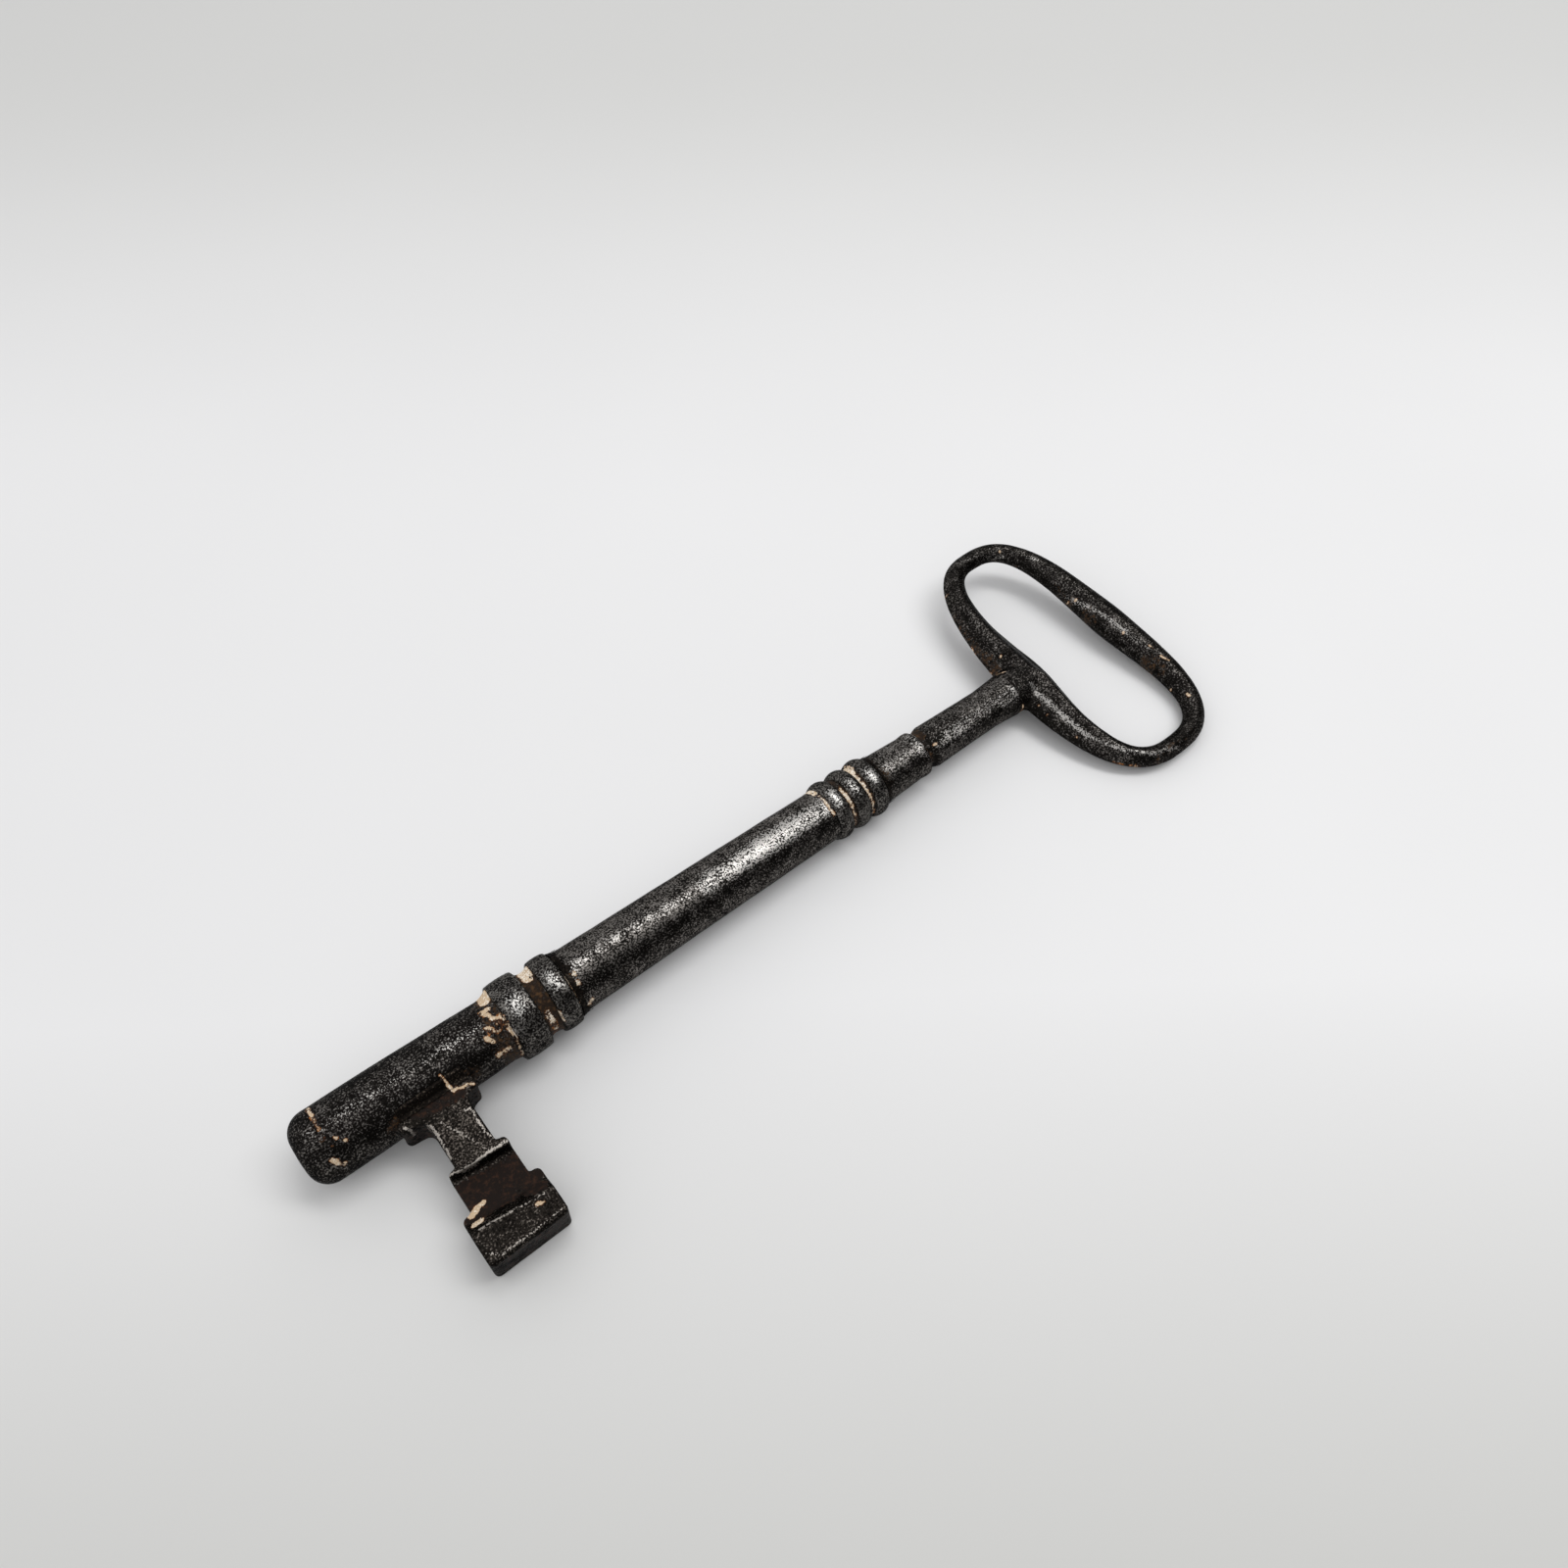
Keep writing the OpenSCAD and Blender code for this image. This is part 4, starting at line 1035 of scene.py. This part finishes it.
CENTRE_OF_MASS = Vector((0.07006, -0.00179, 0.0))  # of the solids, in metres
contacts = support_points(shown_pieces())
hull = bmesh.new()
for p in contacts:
    hull.verts.new(p)
bmesh.ops.convex_hull(hull, input=hull.verts)
hull.normal_update()
floor_normal, floor_point = Vector((0, 0, 1)), Vector((0, 0, -0.007))
for face in hull.faces:
    n = face.normal if face.normal.z < 0 else -face.normal
    if len(face.verts) != 3 or n.z > -0.9:
        continue
    beyond = (contacts - np.array(face.verts[0].co)) @ np.array(n)
    if beyond.max() < 0.001 * MM:
        corners = [v.co for v in face.verts]
        foot = CENTRE_OF_MASS + n * (corners[0] - CENTRE_OF_MASS).dot(n)
        sides = [(corners[(i + 1) % 3] - corners[i]).cross(foot - corners[i]).dot(n)
                 for i in range(3)]
        if (min(sides) > 0) == (max(sides) > 0):
            floor_normal, floor_point = -n, corners[0].copy()
            print("rests on", [[round(c / MM, 1) for c in v] for v in corners])
hull.free()
print("floor normal", [round(c, 3) for c in floor_normal], "roll",
      round(math.degrees(math.atan2(floor_normal.y, floor_normal.z)), 1), "degrees")

# %% [markdown]
# ## Floor, light and world
# The key lies on a plain pale sheet. Dark iron shows little of its own colour, so what it
# mirrors makes the picture. A wide pale sky gives most of the light, so the shadows stay soft.
# One long lamp above the stem draws the bright streak on it, over a band of metal brightened as a
# painted highlight. The sky is dim low down to the right of the picture, which gives the stem its
# black lower flank, together with the painted shade brushed on that flank and the dark sheet it
# mirrors.

# %% The sheet's finish
PAPER, PAPER_LIGHT, PAPER_SHADE, FAR_SHADE_GREY = "#E8E8E8", "#EEEEEE", "#CBCBC8", "#7A7A78"
PICTURE_UP = (0.583, 0.813, 0.0)
paper = bpy.data.materials.new("pale_paper")
paper.use_nodes = True
tree = paper.node_tree
tree.nodes.clear()
place = next(s for s in tree.nodes.new("ShaderNodeTexCoord").outputs if s.name == "Object")
cloudy = add_node(tree, "ShaderNodeTexNoise", {"Vector": place, "Scale": 9.0, "Detail": 2.0})
tone = add_node(tree, "ShaderNodeMix", {
    "Factor": cloudy, "A": linear(PAPER), "B": linear(PAPER_LIGHT)}, data_type="RGBA")
# The sheet is painted grey where the light falls off, towards the camera and again far behind the
# key: painted shade along the one floor direction that runs straight up in the picture
up_picture = add_node(tree, "ShaderNodeVectorMath", {0: place, 1: PICTURE_UP},
                      operation="DOT_PRODUCT")
near_side = add_node(tree, "ShaderNodeMapRange", {
    "Value": up_picture, "From Min": 0.020, "From Max": -0.065})
far_side = add_node(tree, "ShaderNodeMapRange", {
    "Value": up_picture, "From Min": 0.14, "From Max": 0.36, "To Max": 0.7},
    interpolation_type="SMOOTHSTEP")
painted_falloff = add_node(tree, "ShaderNodeMath", {0: near_side, 1: far_side}, operation="MAXIMUM")
tone = add_node(tree, "ShaderNodeMix", {
    "Factor": painted_falloff, "A": tone, "B": linear(PAPER_SHADE)}, data_type="RGBA")
# Out of the picture the sheet is painted dark grey, a painted shade that the lower flank of the
# stem mirrors
painted_far_shade = add_node(tree, "ShaderNodeMapRange", {
    "Value": up_picture, "From Min": -0.12, "From Max": -0.40}, interpolation_type="SMOOTHSTEP")
tone = add_node(tree, "ShaderNodeMix", {
    "Factor": painted_far_shade, "A": tone, "B": linear(FAR_SHADE_GREY)}, data_type="RGBA")
sheet_surface = add_node(tree, "ShaderNodeBsdfPrincipled", {
    "Base Color": tone, "Roughness": 0.75})
add_node(tree, "ShaderNodeOutputMaterial", {"Surface": sheet_surface})
print("finish", paper.name, "with", len(tree.nodes), "nodes")

# %% Floor
FLOOR_HALF = 2500 * MM
tilt = floor_normal.to_track_quat("Z", "Y").to_matrix()
key_middle = Vector((0.08, 0, 0))
centre = key_middle + floor_normal * (floor_point - key_middle).dot(floor_normal)
floor_corners = [centre + tilt @ Vector((x * FLOOR_HALF, y * FLOOR_HALF, 0))
                 for x, y in ((-1, -1), (1, -1), (1, 1), (-1, 1))]
floor = new_piece("floor", [tuple(c / MM) for c in floor_corners], faces=[(0, 1, 2, 3)])
floor.data.materials.append(paper)
floor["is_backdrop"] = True
print("floor", round(2 * FLOOR_HALF, 1), "m wide")

# %% Lamp
LAMP_SIZE, LAMP_POWER, LAMP_AWAY = (0.26, 0.95), 3.7, 1.0  # in metres, watts and metres
lamp_data = bpy.data.lights.new("soft_lamp", "AREA")
lamp_data.shape = "RECTANGLE"
lamp_data.size, lamp_data.size_y = LAMP_SIZE
lamp_data.energy = LAMP_POWER
lamp = bpy.data.objects.new("soft_lamp", lamp_data)
aim = Vector((0.075, 0, 0.005))
away = Vector((0.35, 0.0, 0.937)).normalized()
across = away.cross(Vector((0.83, 0.56, 0))).normalized()
lamp.matrix_world = Matrix.Translation(aim + away * LAMP_AWAY) @ Matrix(
    (across.cross(away), across, away)).transposed().to_4x4()
bpy.context.scene.collection.objects.link(lamp)
print("lamp at", [round(c / MM) for c in lamp.matrix_world.translation], "mm")

# %% Sky
SKY_DIM, SKY_PALE, HORIZON_GLOW = 0.08, 0.90, 0.38
world = bpy.data.worlds.new("pale_sky")
bpy.context.scene.world = world
world.use_nodes = True
tree = world.node_tree
tree.nodes.clear()
direction = next(s for s in tree.nodes.new("ShaderNodeTexCoord").outputs if s.name == "Generated")
towards_pale = Vector((-0.6, 0.6, 0.5)).normalized()
facing = add_node(tree, "ShaderNodeVectorMath", {0: direction, 1: towards_pale},
                  operation="DOT_PRODUCT")
side = add_node(tree, "ShaderNodeMapRange", {
    "Value": facing, "From Min": -0.45, "From Max": 0.3, "To Min": SKY_DIM, "To Max": SKY_PALE},
    interpolation_type="SMOOTHSTEP")
height = add_node(tree, "ShaderNodeSeparateXYZ", {"Vector": direction}).node.outputs["Z"]
horizon = add_node(tree, "ShaderNodeMapRange", {
    "Value": height, "From Min": 0.0, "From Max": 0.15, "To Min": HORIZON_GLOW, "To Max": 0.0},
    interpolation_type="SMOOTHSTEP")
strength = add_node(tree, "ShaderNodeMath", {0: side, 1: horizon}, operation="MAXIMUM")
sky = add_node(tree, "ShaderNodeBackground", {"Color": linear("#F9F9FA"), "Strength": strength})
add_node(tree, "ShaderNodeOutputWorld", {"Surface": sky})
bpy.context.scene.view_settings.view_transform = "Standard"
print("sky strength from", SKY_DIM, "to", SKY_PALE)

# %% [markdown]
# Last, the two boxes are written down side by side: the CAD model's and the dressed key's.
# The dressed key has to fit inside the first.

# %% Sizes
visual_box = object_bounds()
for label, (low, high) in (("CAD", cad_box), ("dressed", visual_box)):
    print(label, "box", [round((h - l) / MM, 2) for l, h in zip(low, high)], "mm")
